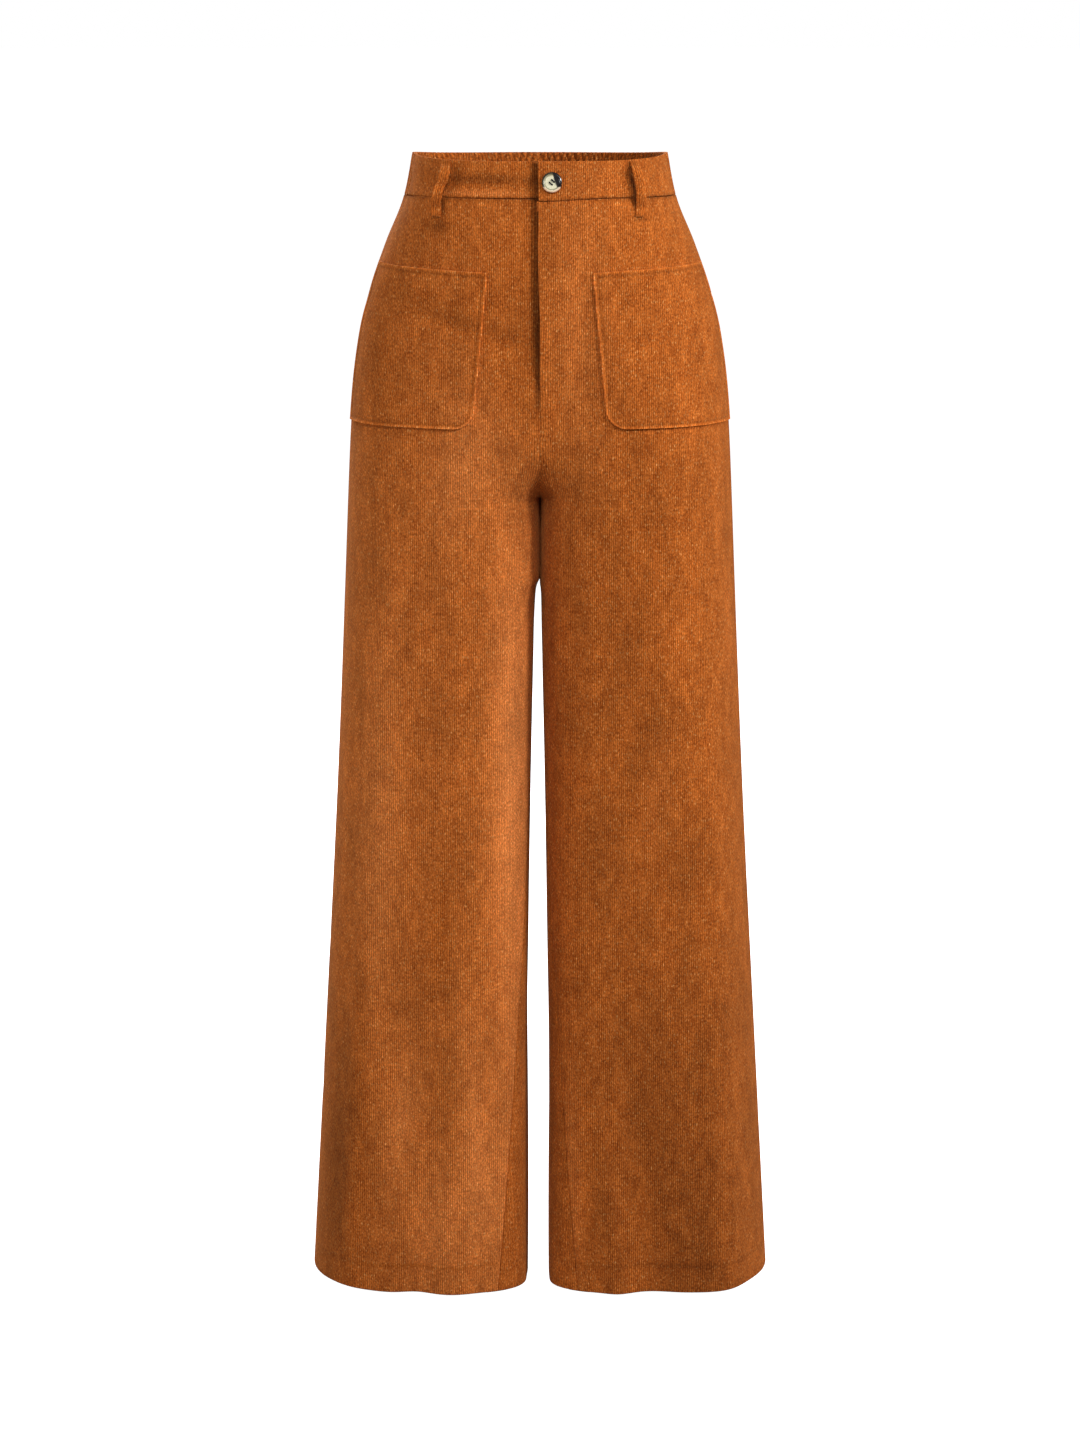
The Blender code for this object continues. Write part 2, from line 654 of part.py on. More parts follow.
def button_thread(frame):
    """The shank through the slit, a plate of wound thread behind the button, and two stitches over it."""
    plate_low, plate_high = SEAM_GAP, BUTTON_OFF_BAND - SEAM_GAP
    face = BUTTON_OFF_BAND + BUTTON_THICK - BUTTON_DISH
    depth = BAND_RISE + BAND_SINK - SEAM_GAP
    shank = cylinder(SHANK_RADIUS, -depth, plate_low + THREAD_LAP, segments=16)
    made = add_object("button_thread", shank, "thread")
    made.matrix_world = frame
    plate = BUTTON_HOLE_REACH + THREAD_RADIUS + THREAD_LAP
    combine(made, guide("join_plate", cylinder(plate, plate_low, plate_high, segments=20), frame), "UNION")
    places = hole_places()
    for number, place in enumerate(places):
        strand = cylinder(THREAD_RADIUS, plate_high - THREAD_LAP, face + STITCH_HIGH - THREAD_LAP, place, 8)
        combine(made, guide(f"join_strand_{number}", strand, frame), "UNION")
    for number, (a, b) in enumerate((places[1:3], (places[0], places[3]))):
        start, end = Vector((*a, 0.0)), Vector((*b, 0.0))
        reach, half = (end - start).length / 2 + THREAD_RADIUS, THREAD_RADIUS * STITCH_SPREAD
        bar = box((-reach, -half, face + SEAM_GAP), (reach, half, face + STITCH_HIGH))
        angle = math.atan2(end.y - start.y, end.x - start.x)
        place = frame @ Matrix.Translation((start + end) / 2) @ Matrix.Rotation(angle, 4, "Z")
        combine(made, guide(f"join_stitch_{number}", bar, place), "UNION")


def cut_button_slit(overlap, frame):
    """The slit in the overlap that the shank passes, hidden behind the button."""
    cutter = box((-SLIT_LONG / 2, -SLIT_HIGH / 2, -SLIT_DEEP), (SLIT_LONG / 2, SLIT_HIGH / 2, SLIT_DEEP))
    combine(overlap, guide("cut_button_slit", cutter, frame), "DIFFERENCE")


def fly_zip():
    """The closed zip: one strip behind the fly, sewn to both fronts."""
    levels = np.linspace(ZIP_TOP, ZIP_BOTTOM, ZIP_ROWS)
    places = np.linspace(-ZIP_RIGHT, ZIP_LEFT, ZIP_COLUMNS)
    outer, inner = [], []
    for level in levels:
        base = -(smooth_curve(SECTIONS, "front", level) - ZIP_DEPTH)
        outer.append([(x, base, -level) for x in places])
        inner.append([(x, base + ZIP_THICK, -level) for x in places])
    return add_object("fly_zip", wall(np.array(outer), np.array(inner)), "zip_tape")


def zip_slider(form):
    """The slider at the top of the closed zip, with its tab hanging down in one piece with it."""
    low = Vector((-SLIDER_WIDE / 2, 0.0, -SLIDER_BACK))
    high = Vector((SLIDER_WIDE / 2, SLIDER_TALL, -SLIDER_FRONT))
    bm = box(low, high)
    base = min(bm.faces, key=lambda face: face.calc_center_median().y)
    bmesh.ops.inset_region(bm, faces=[base], thickness=TAB_THICK / 4)
    for vert in base.verts:
        vert.co.x = math.copysign(TAB_WIDE / 2, vert.co.x)
        outer = vert.co.z > (low.z + high.z) / 2
        vert.co.z = high.z - TAB_THICK / 4 - (0.0 if outer else TAB_THICK)
    moved = bmesh.ops.extrude_discrete_faces(bm, faces=[base])
    bmesh.ops.translate(bm, verts=moved["faces"][0].verts, vec=(0.0, -TAB_LONG, 0.0))
    made = add_object("zip_slider", bm, "zip_metal")
    made.matrix_world = cloth_frame(form, ZIP_LINE, ZIP_TOP - SLIDER_CLEAR)
    return made


def main():
    for item in list(bpy.data.objects):
        bpy.data.objects.remove(item)
    forms = {side: Form(side) for side in (-1, 1)}
    for label, side in (("right", -1), ("left", 1)):
        leg_panel(f"front_panel_{label}", forms[side], "front")
        leg_panel(f"back_panel_{label}", forms[side], "back")
        patch_pocket(f"pocket_{label}", forms[side])
        belt_loop(f"belt_loop_front_{label}", forms[side], "front", LOOP_FRONT_X)
        belt_loop(f"belt_loop_back_{label}", forms[side], "back", LOOP_BACK_X)
    front_band("waistband_front_right", forms[-1], UNDER_LAP_COLUMNS)
    overlap = front_band("waistband_front_left", forms[1], OVER_LAP_COLUMNS)
    back_band("waistband_back", forms)
    frame = cloth_frame(forms[1], BUTTON_X, BUTTON_LEVEL)
    cut_button_slit(overlap, frame)
    waist_button(frame)
    button_thread(frame)
    fly_zip()
    zip_slider(forms[1])


main()
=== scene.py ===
"""The looks of the high-waisted wide-leg corduroy trousers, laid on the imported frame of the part.

Metres, +Z up. The front faces -Y and the wearer's left is +X. A level is a distance down from the waist. Every
piece of cloth is a fine shell on the same form as the part's solids, with turned-in edges, creases and pile.
"""
import math
from collections import namedtuple

import bmesh
import bpy
import numpy as np
from bpy.props import FloatProperty, FloatVectorProperty, PointerProperty
from mathutils import Matrix, Vector


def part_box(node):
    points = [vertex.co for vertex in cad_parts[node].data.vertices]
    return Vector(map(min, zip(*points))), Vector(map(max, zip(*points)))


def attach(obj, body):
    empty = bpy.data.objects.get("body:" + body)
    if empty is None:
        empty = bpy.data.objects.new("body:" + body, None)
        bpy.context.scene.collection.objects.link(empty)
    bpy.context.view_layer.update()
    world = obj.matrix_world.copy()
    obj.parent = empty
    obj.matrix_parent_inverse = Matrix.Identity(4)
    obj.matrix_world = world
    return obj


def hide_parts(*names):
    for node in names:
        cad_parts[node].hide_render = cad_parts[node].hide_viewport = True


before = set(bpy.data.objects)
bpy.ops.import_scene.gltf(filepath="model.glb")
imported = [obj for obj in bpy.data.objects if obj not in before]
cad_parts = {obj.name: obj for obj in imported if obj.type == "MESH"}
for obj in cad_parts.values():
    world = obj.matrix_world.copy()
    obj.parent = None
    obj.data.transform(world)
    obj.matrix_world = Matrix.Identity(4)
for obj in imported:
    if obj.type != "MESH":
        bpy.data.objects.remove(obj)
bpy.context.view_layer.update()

bl_info = {
    "name": "Corduroy trousers",
    "version": (1, 0, 0),
    "blender": (4, 5, 0),
    "location": "View3D > Sidebar > Trousers",
    "description": "Makes the cloth, fastenings and studio of a pair of wide-leg corduroy trousers",
    "category": "Object",
}

# The form, as in the part's source
LENGTH = 1.05
BAND_DEEP = 0.0375
CROTCH_LEVEL = 0.308
FRONT_CURVE_LEVEL = 0.245
BACK_CURVE_LEVEL = 0.200
FRONT_DIP = 0.005
BACK_DIP = 0.003
# Neighbouring pieces press this far into each other, so that no light shows through their seams
SEAM_LAP = 0.0001
HALF_GAP = -SEAM_LAP / 2
# The dark groove along the waistband's seam, and how far the floor lies under the hem
BAND_GROOVE = 0.0006
HEM_CLEAR = 0.0016
# Half sections: half width, reach of the front and back, place of the widest point, and how far from the centre
# the front and the back reach furthest
Section = namedtuple("Section", "level half_width front back widest_y front_peak back_peak")
SECTIONS = (
    Section(0.000, 0.1143, 0.0900, 0.0960, 0.000, 0.000, 0.000),
    Section(0.036, 0.1215, 0.0940, 0.1020, 0.001, 0.000, 0.000),
    Section(0.080, 0.1398, 0.0985, 0.1120, 0.004, 0.003, 0.010),
    Section(0.120, 0.1541, 0.1010, 0.1190, 0.006, 0.010, 0.025),
    Section(0.160, 0.1641, 0.1025, 0.1235, 0.008, 0.024, 0.042),
    Section(0.210, 0.1707, 0.1030, 0.1245, 0.008, 0.046, 0.062),
    Section(0.260, 0.1741, 0.1030, 0.1220, 0.007, 0.070, 0.078),
    Section(0.310, 0.1765, 0.1020, 0.1180, 0.006, 0.085, 0.088),
    Section(0.400, 0.1805, 0.1010, 0.1100, 0.005, 0.092, 0.095),
    Section(0.580, 0.1893, 0.1000, 0.0980, 0.004, 0.094, 0.100),
    Section(0.820, 0.2033, 0.1000, 0.0840, 0.002, 0.096, 0.106),
    Section(1.050, 0.2170, 0.1000, 0.0720, 0.000, 0.100, 0.112),
)
# The inner side of a leg below the crotch: its place in plan, how far the inseam turns to the front, and how square
# its quarter ovals are. The legs touch from the crotch down to where they part.
LEGS_PART = 0.384
Inner = namedtuple("Inner", "level x y inseam_turn roundness")
INNERS = (
    Inner(0.308, -0.0002, -0.020, 0.000, 2.6),
    Inner(0.360, -0.0002, -0.023, 0.002, 2.5),
    Inner(0.384, -0.0002, -0.024, 0.003, 2.6),
    Inner(0.392, 0.0020, -0.025, 0.0035, 2.6),
    Inner(0.404, 0.0028, -0.026, 0.004, 2.5),
    Inner(0.460, 0.0041, -0.030, 0.007, 2.45),
    Inner(0.573, 0.0065, -0.036, 0.014, 2.3),
    Inner(0.727, 0.0089, -0.043, 0.024, 2.3),
    Inner(0.824, 0.0104, -0.048, 0.031, 2.35),
    Inner(1.050, 0.0110, -0.058, 0.046, 2.45),
)
# How far the gap between the legs leans to the wearer's left, and over what length it starts to
GAP_LEAN = 0.0021
GAP_LEAN_RUN = 0.130
OUTER_ROUNDNESS = 2.25
SIDE_SEAM_FORWARD = 0.022
# Where the row of cloth through the crotch point meets the side seam
CROTCH_ROW_AT_SIDE = 0.360

# Laps at the centre front: the fly's bottom and how its edge leans off the middle plane, how far the left side
# rises and the right side sinks on the fly and on the band, and the lengths over which they do
FLY_BOTTOM = 0.213
Lean = namedtuple("Lean", "level x")
FLY_LEANS = (
    Lean(0.000, -0.0020),
    Lean(0.040, -0.0026),
    Lean(0.110, -0.0012),
    Lean(0.200, 0.0015),
    Lean(0.246, 0.0000),
)
FLY_RISE = 0.0026
FLY_SINK = 0.0026
FLY_WIDE = 0.0180
FLY_FADE = 0.0350
BAND_RISE = 0.0024
BAND_SINK = 0.0022
LAP_FLAT = 0.0300
SINK_START = 0.0040
SINK_RUN = 0.0260
UNDERLAP = 0.0240
# How much lower the band's seam runs beside the fly on each side, how far out from it, and how far down the
# panels the step fades
BAND_STEP = {-1: 0.0004, 1: 0.0026}
BAND_STEP_RUN = 0.034
BAND_STEP_FADE = 0.050

# Soft folds: side (-1 the wearer's right), face, levels of the top and the bottom, place across the panel from the
# inner edge (0) to the side seam (1) at the top and the bottom, half width and height out of the cloth
Fold = namedtuple("Fold", "side face top bottom share_top share_bottom half_width height")
FOLDS = (
    Fold(-1, "front", 0.40, 1.04, 0.48, 0.48, 0.019, -0.0056),
    Fold(-1, "front", 0.80, 1.32, 0.37, 0.36, 0.018, -0.0062),
    Fold(-1, "front", 0.36, 1.12, 0.68, 0.67, 0.018, 0.0042),
    Fold(-1, "front", 0.38, 1.20, 0.28, 0.19, 0.021, 0.0062),
    Fold(1, "front", 0.36, 0.78, 0.42, 0.36, 0.028, -0.0035),
    Fold(1, "front", 0.40, 1.10, 0.72, 0.66, 0.026, 0.0030),
    Fold(1, "front", 0.66, 1.36, 0.30, 0.34, 0.026, -0.0075),
    Fold(1, "front", 0.72, 1.40, 0.64, 0.64, 0.026, 0.0065),
    Fold(1, "front", 0.84, 1.30, 0.17, 0.19, 0.014, 0.0036),
    Fold(-1, "back", 0.30, 0.90, 0.45, 0.40, 0.030, -0.0050),
    Fold(-1, "back", 0.46, 1.16, 0.74, 0.80, 0.026, -0.0040),
    Fold(-1, "back", 0.60, 1.20, 0.22, 0.20, 0.024, 0.0040),
    Fold(1, "back", 0.28, 0.84, 0.50, 0.44, 0.032, -0.0045),
    Fold(1, "back", 0.52, 1.20, 0.72, 0.76, 0.028, -0.0045),
    Fold(1, "back", 0.66, 1.14, 0.26, 0.20, 0.024, 0.0035),
)
FOLD_FADE = 0.030

# The patch pockets: levels of the top at its inner and outer corner and of the bottom, lengths from the centre to
# the inner edge at the top and the bottom, the corner's radius, how far the side edge stops short of the side seam
# and the pocket lies off the panel, how fast the hem line starts, and the share of the rows and of the depth that
# are evenly spaced, above the rows that crowd towards the bottom
POCKET_TOP_INNER = 0.1020
POCKET_TOP_OUTER = 0.0965
POCKET_BOTTOM = 0.2390
POCKET_INNER_TOP = 0.0465
POCKET_INNER_BOTTOM = 0.0600
POCKET_CORNER = 0.0170
POCKET_TO_SIDE_SEAM = 0.0060
POCKET_OFF_PANEL = 0.0001
POCKET_HEM_FADE = 0.0040
POCKET_EVEN_ROWS = 0.80
POCKET_EVEN_DEPTH = 0.86

# The zip: its levels, how far it reaches to each side of the middle plane, where its teeth run, how far it lies
# behind the form, its whole and its tape's thickness, a tooth's width, depth and height, how far apart the teeth
# stand and to which side by turns, and the cord that they are woven to
ZIP_TOP = 0.0560
ZIP_BOTTOM = 0.2000
ZIP_RIGHT = 0.0100
ZIP_LEFT = 0.0180
ZIP_LINE = 0.0050
ZIP_DEPTH = 0.0031
ZIP_THICK = 0.0012
TAPE_THICK = 0.0006
TOOTH = (0.0030, 0.0014, 0.0012)
TOOTH_PITCH = 0.0022
TOOTH_SIDEWAYS = 0.0007
TOOTH_EDGE = 0.0002
CORD_RISE = 0.0002
CORD_WIDE = 0.0030

# The belt loops' width and the rise of their middle, where the middle of each one runs, and how it is turned there,
# from flat along the cloth (0) to squarely facing the front (1)
LOOP_WIDE = 0.0090
LOOP_BULGE = 0.0003
LoopLine = namedtuple("LoopLine", "level x face_on")
LOOP_LINES = {
    "belt_loop_front_right": (
        LoopLine(0.000, 0.0830, 0.2),
        LoopLine(0.012, 0.0838, 0.7),
        LoopLine(0.022, 0.0872, 0.8),
        LoopLine(0.032, 0.0900, 0.8),
        LoopLine(0.042, 0.0918, 0.7),
        LoopLine(0.056, 0.0922, 0.3),
    ),
    "belt_loop_front_left": (
        LoopLine(0.000, 0.0825, 0.1),
        LoopLine(0.012, 0.0858, 0.4),
        LoopLine(0.022, 0.0882, 0.6),
        LoopLine(0.032, 0.0896, 0.7),
        LoopLine(0.042, 0.0894, 0.6),
        LoopLine(0.056, 0.0880, 0.3),
    ),
    "belt_loop_back_right": (LoopLine(0.000, 0.0780, 0.0), LoopLine(0.056, 0.0850, 0.0)),
    "belt_loop_back_left": (LoopLine(0.000, 0.0780, 0.0), LoopLine(0.056, 0.0862, 0.0)),
}
# How far a belt loop's inner face stands off the cloth
Stand = namedtuple("Stand", "level out")
LOOP_STANDS = (
    Stand(0.0015, 0.0003),
    Stand(0.0050, 0.0012),
    Stand(0.0090, 0.0050),
    Stand(0.0140, 0.0078),
    Stand(0.0240, 0.0082),
    Stand(0.0340, 0.0078),
    Stand(0.0410, 0.0052),
    Stand(0.0465, 0.0015),
    Stand(0.0500, 0.0007),
    Stand(0.0545, 0.0007),
)

# How finely the form is sampled, and the step over which its slope is taken
SECTION_POINTS = 160
ARC_POINTS = 400
LATTICE_DOWN = 0.0010
LATTICE_ACROSS = 0.0010
LATTICE_REACH = 0.460
STEP = 0.0006

# Small creases: centre by level and distance from the middle plane, turn from upright in degrees (its foot goes
# out from the middle where it is above 0), half length, half width and height out of the cloth
Crease = namedtuple("Crease", "side face level across turn long wide height")
CREASES = (
    Crease(-1, "front", 0.0250, 0.050, 90, 0.046, 0.0080, -0.0036),
    Crease(-1, "front", 0.150, 0.072, -75, 0.060, 0.0090, -0.0022),
    Crease(-1, "front", 0.200, 0.120, -20, 0.050, 0.0140, -0.0022),
    Crease(-1, "front", 0.235, 0.060, -60, 0.050, 0.0110, 0.0014),
    Crease(-1, "front", 0.270, 0.030, 35, 0.040, 0.0100, -0.0012),
    Crease(-1, "front", 0.330, 0.045, 28, 0.060, 0.0110, -0.0014),
    Crease(1, "front", 0.275, 0.034, 40, 0.045, 0.0110, -0.0012),
    Crease(1, "front", 0.345, 0.050, 24, 0.060, 0.0120, -0.0012),
    Crease(1, "front", 0.520, 0.130, 78, 0.050, 0.0100, -0.0009),
    Crease(1, "front", 0.560, 0.110, 84, 0.045, 0.0090, -0.0008),
    Crease(1, "front", 0.720, 0.120, 74, 0.060, 0.0110, -0.0011),
    Crease(1, "front", 0.765, 0.140, 80, 0.040, 0.0090, 0.0008),
    Crease(1, "front", 0.960, 0.090, 40, 0.060, 0.0130, -0.0016),
    Crease(1, "front", 0.985, 0.125, 52, 0.050, 0.0110, 0.0012),
    Crease(-1, "front", 0.640, 0.120, -70, 0.045, 0.0100, -0.0008),
    Crease(-1, "front", 0.900, 0.080, -62, 0.055, 0.0120, -0.0010),
    Crease(-1, "back", 0.290, 0.050, -50, 0.060, 0.0120, -0.0022),
    Crease(-1, "back", 0.345, 0.060, -40, 0.070, 0.0130, -0.0024),
    Crease(-1, "back", 0.700, 0.110, 70, 0.060, 0.0120, -0.0014),
    Crease(-1, "back", 0.900, 0.140, -66, 0.060, 0.0120, -0.0014),
    Crease(1, "back", 0.300, 0.045, -46, 0.055, 0.0120, -0.0022),
    Crease(1, "back", 0.355, 0.066, -36, 0.075, 0.0140, -0.0022),
    Crease(1, "back", 0.640, 0.100, 72, 0.060, 0.0120, -0.0013),
    Crease(1, "back", 0.870, 0.120, 64, 0.060, 0.0130, -0.0015),
)

# Soft patches of painted light and painted shade on the pile, among them the painted shade of a lap or loop
PAINTED_LIGHT_PATCHES = (
    Crease(-1, "front", 0.600, 0.100, 0, 0.600, 0.1200, 0.08),
    Crease(-1, "front", 0.560, 0.022, 0, 0.230, 0.0230, 0.48),
    Crease(-1, "front", 0.940, 0.026, 4, 0.160, 0.0300, 0.24),
    Crease(-1, "front", 0.600, 0.146, 2, 0.200, 0.0200, 0.24),
    Crease(-1, "front", 0.880, 0.128, 8, 0.070, 0.0170, 0.22),
    Crease(-1, "front", 0.870, 0.062, -3, 0.110, 0.0130, 0.20),
    Crease(-1, "front", 0.985, 0.090, 12, 0.080, 0.0400, 0.24),
    Crease(-1, "front", 0.930, 0.190, 4, 0.160, 0.0170, -0.42),
    Crease(-1, "front", 0.270, 0.068, 8, 0.070, 0.0300, 0.24),
    Crease(-1, "front", 0.165, 0.018, 0, 0.060, 0.0240, -0.18),
    Crease(-1, "front", 0.140, 0.078, -70, 0.050, 0.0100, -0.16),
    Crease(-1, "front", 0.190, 0.148, 0, 0.040, 0.0160, -0.14),
    Crease(-1, "front", 0.700, 0.092, 6, 0.070, 0.0120, -0.10),
    Crease(-1, "front", 0.0185, 0.048, 90, 0.042, 0.0058, -0.34),
    Crease(-1, "front", 0.0335, 0.052, 90, 0.046, 0.0036, 0.26),
    Crease(-1, "front", 0.0625, 0.0900, 90, 0.010, 0.0055, -0.42),
    Crease(-1, "front", 0.0460, 0.0862, 0, 0.007, 0.0020, -0.70),
    Crease(1, "front", 0.930, 0.150, 4, 0.230, 0.0650, -0.27),
    Crease(1, "front", 0.150, 0.035, 0, 0.140, 0.0260, 0.14),
    Crease(1, "front", 0.960, 0.066, 3, 0.110, 0.0150, -0.15),
    Crease(1, "front", 0.950, 0.010, 0, 0.130, 0.0080, -0.28),
    Crease(1, "front", 0.930, 0.030, 2, 0.110, 0.0110, 0.14),
    Crease(1, "front", 0.620, 0.060, 10, 0.060, 0.0220, -0.10),
    Crease(1, "front", 0.590, 0.105, -6, 0.070, 0.0160, 0.10),
    Crease(1, "front", 0.0180, 0.0805, 9, 0.014, 0.0022, -0.80),
    Crease(1, "front", 0.0370, 0.0842, 2, 0.016, 0.0020, -0.80),
    Crease(1, "front", 0.0555, 0.0895, 90, 0.006, 0.0014, -0.60),
    Crease(-1, "back", 0.300, 0.060, 6, 0.150, 0.0350, 0.20),
    Crease(-1, "back", 0.640, 0.110, -3, 0.180, 0.0260, -0.18),
    Crease(-1, "back", 0.860, 0.050, 4, 0.140, 0.0240, 0.22),
    Crease(1, "back", 0.260, 0.080, -8, 0.130, 0.0300, 0.18),
    Crease(1, "back", 0.560, 0.050, 5, 0.190, 0.0280, -0.16),
    Crease(1, "back", 0.820, 0.140, -4, 0.160, 0.0300, 0.20),
)

# Soft lines along an edge or a level: place, half width and strength. POCKET_EDGE is a share of the ridge's height,
# POCKET_HEM is a height, the wear lines are worn pile lit up with a painted highlight, and the shade lines are
# painted shade.
Line = namedtuple("Line", "place half_width strength")
POCKET_EDGE = (Line(0.0, 0.0017, 1.0), Line(0.0042, 0.0018, -0.45))
POCKET_HEM = (Line(0.030, 0.0016, -0.00035),)
POCKET_SHADE = (Line(0.0032, 0.0010, -0.30),)
POCKET_WEAR_AND_HIGHLIGHT = (Line(0.0, 0.0014, 2.2),)
PANEL_TOP_WEAR_AND_HIGHLIGHT = (Line(0.0, 0.0020, 0.35),)
FLY_WEAR_AND_HIGHLIGHT = (Line(0.0, 0.0022, 1.0),)
BAND_WEAR_AND_HIGHLIGHT = (Line(0.0, 0.0020, 0.6),)
BAND_END_WEAR_AND_HIGHLIGHT = 0.48
LOOP_WEAR_AND_HIGHLIGHT = (Line(0.0, 0.0012, 1.7),)
LOOP_SHADE = (Line(0.0040, 0.0030, -0.25), Line(0.0535, 0.0012, -0.30))
SEAM_SHADE = (Line(BAND_DEEP, 0.0016, -0.50), Line(LENGTH - 0.0262, 0.0013, -0.16))
FLY_WEAR_AND_HIGHLIGHT_FADE = 0.020
# The shade on the right front beside the fly's edge: how far it reaches at each level, and where it fades out
FLY_SHADE = 0.62
FLY_SHADE_LEVELS = (0.000, 0.130, 0.210, 0.250)
FLY_SHADE_REACHES = (0.0085, 0.0080, 0.0040, 0.0020)
FLY_SHADE_END = 0.205
FLY_SHADE_FADE = 0.035
DEEPEST_SHADE = -0.85

# The elastic's gathers: how much wider and deeper they are on the panels than on the band, over what length they
# fade down the panels, and how far from the side seam they are in full
PANEL_GATHER_WIDE = 2.6
PANEL_GATHER_DEEP = 1.1
GATHER_FADE = 0.028
GATHER_START = 0.012

# Colours: single hairs of the pile that catch the light or lie in the shade, the paler hue where light is painted on
# the pile, and the horn of the button from its dish to its rim, with painted shade round the dish and a painted rim
# highlight
BRIGHT_HAIRS = (0.66, 0.31, 0.095)
DARK_HAIRS = (0.150, 0.030, 0.004)
PAINTED_HIGHLIGHT_HUE = (0.47, 0.19, 0.065)
HORN_CREAM = (0.84, 0.78, 0.56)
HORN_GREEN_CREAM = (0.74, 0.70, 0.48)
HORN_TAN = (0.42, 0.27, 0.10)
HORN_GROOVE_SHADE = (0.16, 0.15, 0.07)
HORN_DARK_RIM = (0.045, 0.040, 0.022)
HORN_BLACK = (0.010, 0.008, 0.009)
HORN_RIM_HIGHLIGHT = (0.86, 0.62, 0.42)
THREAD_BLACK = (0.006, 0.004, 0.004)
ZIP_BRASS = (0.55, 0.42, 0.22)
TAPE_RUST = (0.16, 0.055, 0.018)
GRAIN_SPREAD = 0.22

# Studio: name, place, aim, width and power of each lamp, the air's light from all round, the floor and the camera
LAMPS = (
    ("key", (2.5, -1.6, 1.25), (0.0, 0.0, -0.35), 0.6, 66.0),
    ("right_side", (2.6, -0.5, 0.30), (0.0, 0.0, -0.4), 0.6, 22.0),
    ("left_side", (-2.6, -0.8, -0.10), (0.0, 0.0, -0.5), 1.0, 22.0),
    ("low_left", (-1.1, -2.6, -0.85), (-0.1, 0.0, -0.8), 0.8, 5.0),
    ("front_high", (0.0, -2.4, 1.70), (0.0, 0.0, -0.3), 1.0, 40.0),
    ("behind", (-0.8, 2.6, 1.00), (0.0, 0.0, -0.5), 2.4, 85.0),
)
STUDIO_AIR = 0.06
FLOOR_HALF = 400.0
CAMERA_PLACE = (0.0, -3.1, 0.10)
CAMERA_TILT = 78.635
CAMERA_LENS = 84.71
CAMERA_SENSOR = 36.0

# How the shells are cut
FOLD_STEPS = 6
ALLOWANCE_STEPS = 3
SEAM_ALLOWANCE = 0.0090
TOP_ALLOWANCE = 0.0070
# A panel's edge is moved off the middle plane down to just past the crotch, and the move fades into the panel
CROTCH_PAST = 0.0010
CENTRE_GAP_START = 0.0013
CENTRE_GAP_FADE = 0.0070
FRONT_COLUMNS = 72
BACK_COLUMNS = 104
TORSO_ROWS = 110
LEG_ROWS = 200
BAND_ROWS = 28
FRONT_BAND_COLUMNS = 100
BACK_BAND_COLUMNS = 190
POCKET_ROWS = 84
POCKET_COLUMNS = 78
LOOP_ROWS = 60
LOOP_COLUMNS = 12
TAPE_ROWS = 80
TAPE_COLUMNS = 30
# Where a panel's grain line stands, as a half width
GRAIN_X = 0.060
FACES = {"front": -1, "back": 1}


def ease(value):
    """0 to 1 with soft ends."""
    value = np.clip(value, 0.0, 1.0)
    return value * value * (3.0 - 2.0 * value)


def bell(distance, half_width):
    """1 where the distance is 0, and fading softly to 0 on both sides."""
    return np.exp(-((distance / half_width) ** 2))


def soft_lines(lines, distance):
    """The sum of soft lines at a distance from the edge or level that they are counted from."""
    return sum(line.strength * bell(distance - line.place, line.half_width) for line in lines)


def smooth_curve(rows, column, level):
    """A curve without overshoot through one column of a table."""
    levels = np.array([row.level for row in rows])
    values = np.array([getattr(row, column) for row in rows])
    rises = np.diff(values) / np.diff(levels)
    slopes = np.concatenate([rises[:1], np.zeros(len(rises) - 1), rises[-1:]])
    before, after = rises[:-1], rises[1:]
    same = before * after > 0
    slopes[1:-1][same] = 2.0 * before[same] * after[same] / (before[same] + after[same])
    low = int(np.clip(np.searchsorted(levels, level) - 1, 0, len(rises) - 1))
    wide = levels[low + 1] - levels[low]
    t = min(max((level - levels[low]) / wide, 0.0), 1.0)
    return (
        values[low] * (1 + 2 * t) * (1 - t) ** 2
        + values[low + 1] * t * t * (3 - 2 * t)
        + wide * t * (1 - t) * (slopes[low] * (1 - t) - slopes[low + 1] * t)
    )


def quadrant(centre, reach, roundness, start=0.0, end=math.pi / 2):
    """Points of a squared quarter oval, from angle start (on its y side) to end (on its x side)."""
    angle = np.linspace(start, end, SECTION_POINTS)
    x = centre[0] + reach[0] * np.sin(angle) ** (2.0 / roundness)
    y = centre[1] + reach[1] * np.cos(angle) ** (2.0 / roundness)
    return np.stack([x, y], axis=1)


def curve_share(level, start):
    """How far the crotch curve has run in, from 0 at its start level to 1 at the crotch."""
    t = min(max((level - start) / (CROTCH_LEVEL - start), 0.0), 1.0)
    return 1.0 - math.sqrt(1.0 - t * t)


def inner_quarter(peak, inner, run_in, roundness):
    """From the inner edge of a half section out to its front or back peak."""
    reach_y = peak[1] - inner[1]
    if run_in < 1.0:
        cut = max(1.0 - (1.0 - run_in) ** roundness, 1e-9) ** (1.0 / roundness)
        wide = max(peak[0], 1e-5) / cut
        start = math.asin(cut ** (roundness / 2.0))
    else:
        wide = peak[0] - inner[0]
        start = math.pi / 2
    points = quadrant((0.0, inner[1]), (wide, reach_y), roundness, start, 0.0)
    points[:, 0] = peak[0] - points[:, 0]
    return points


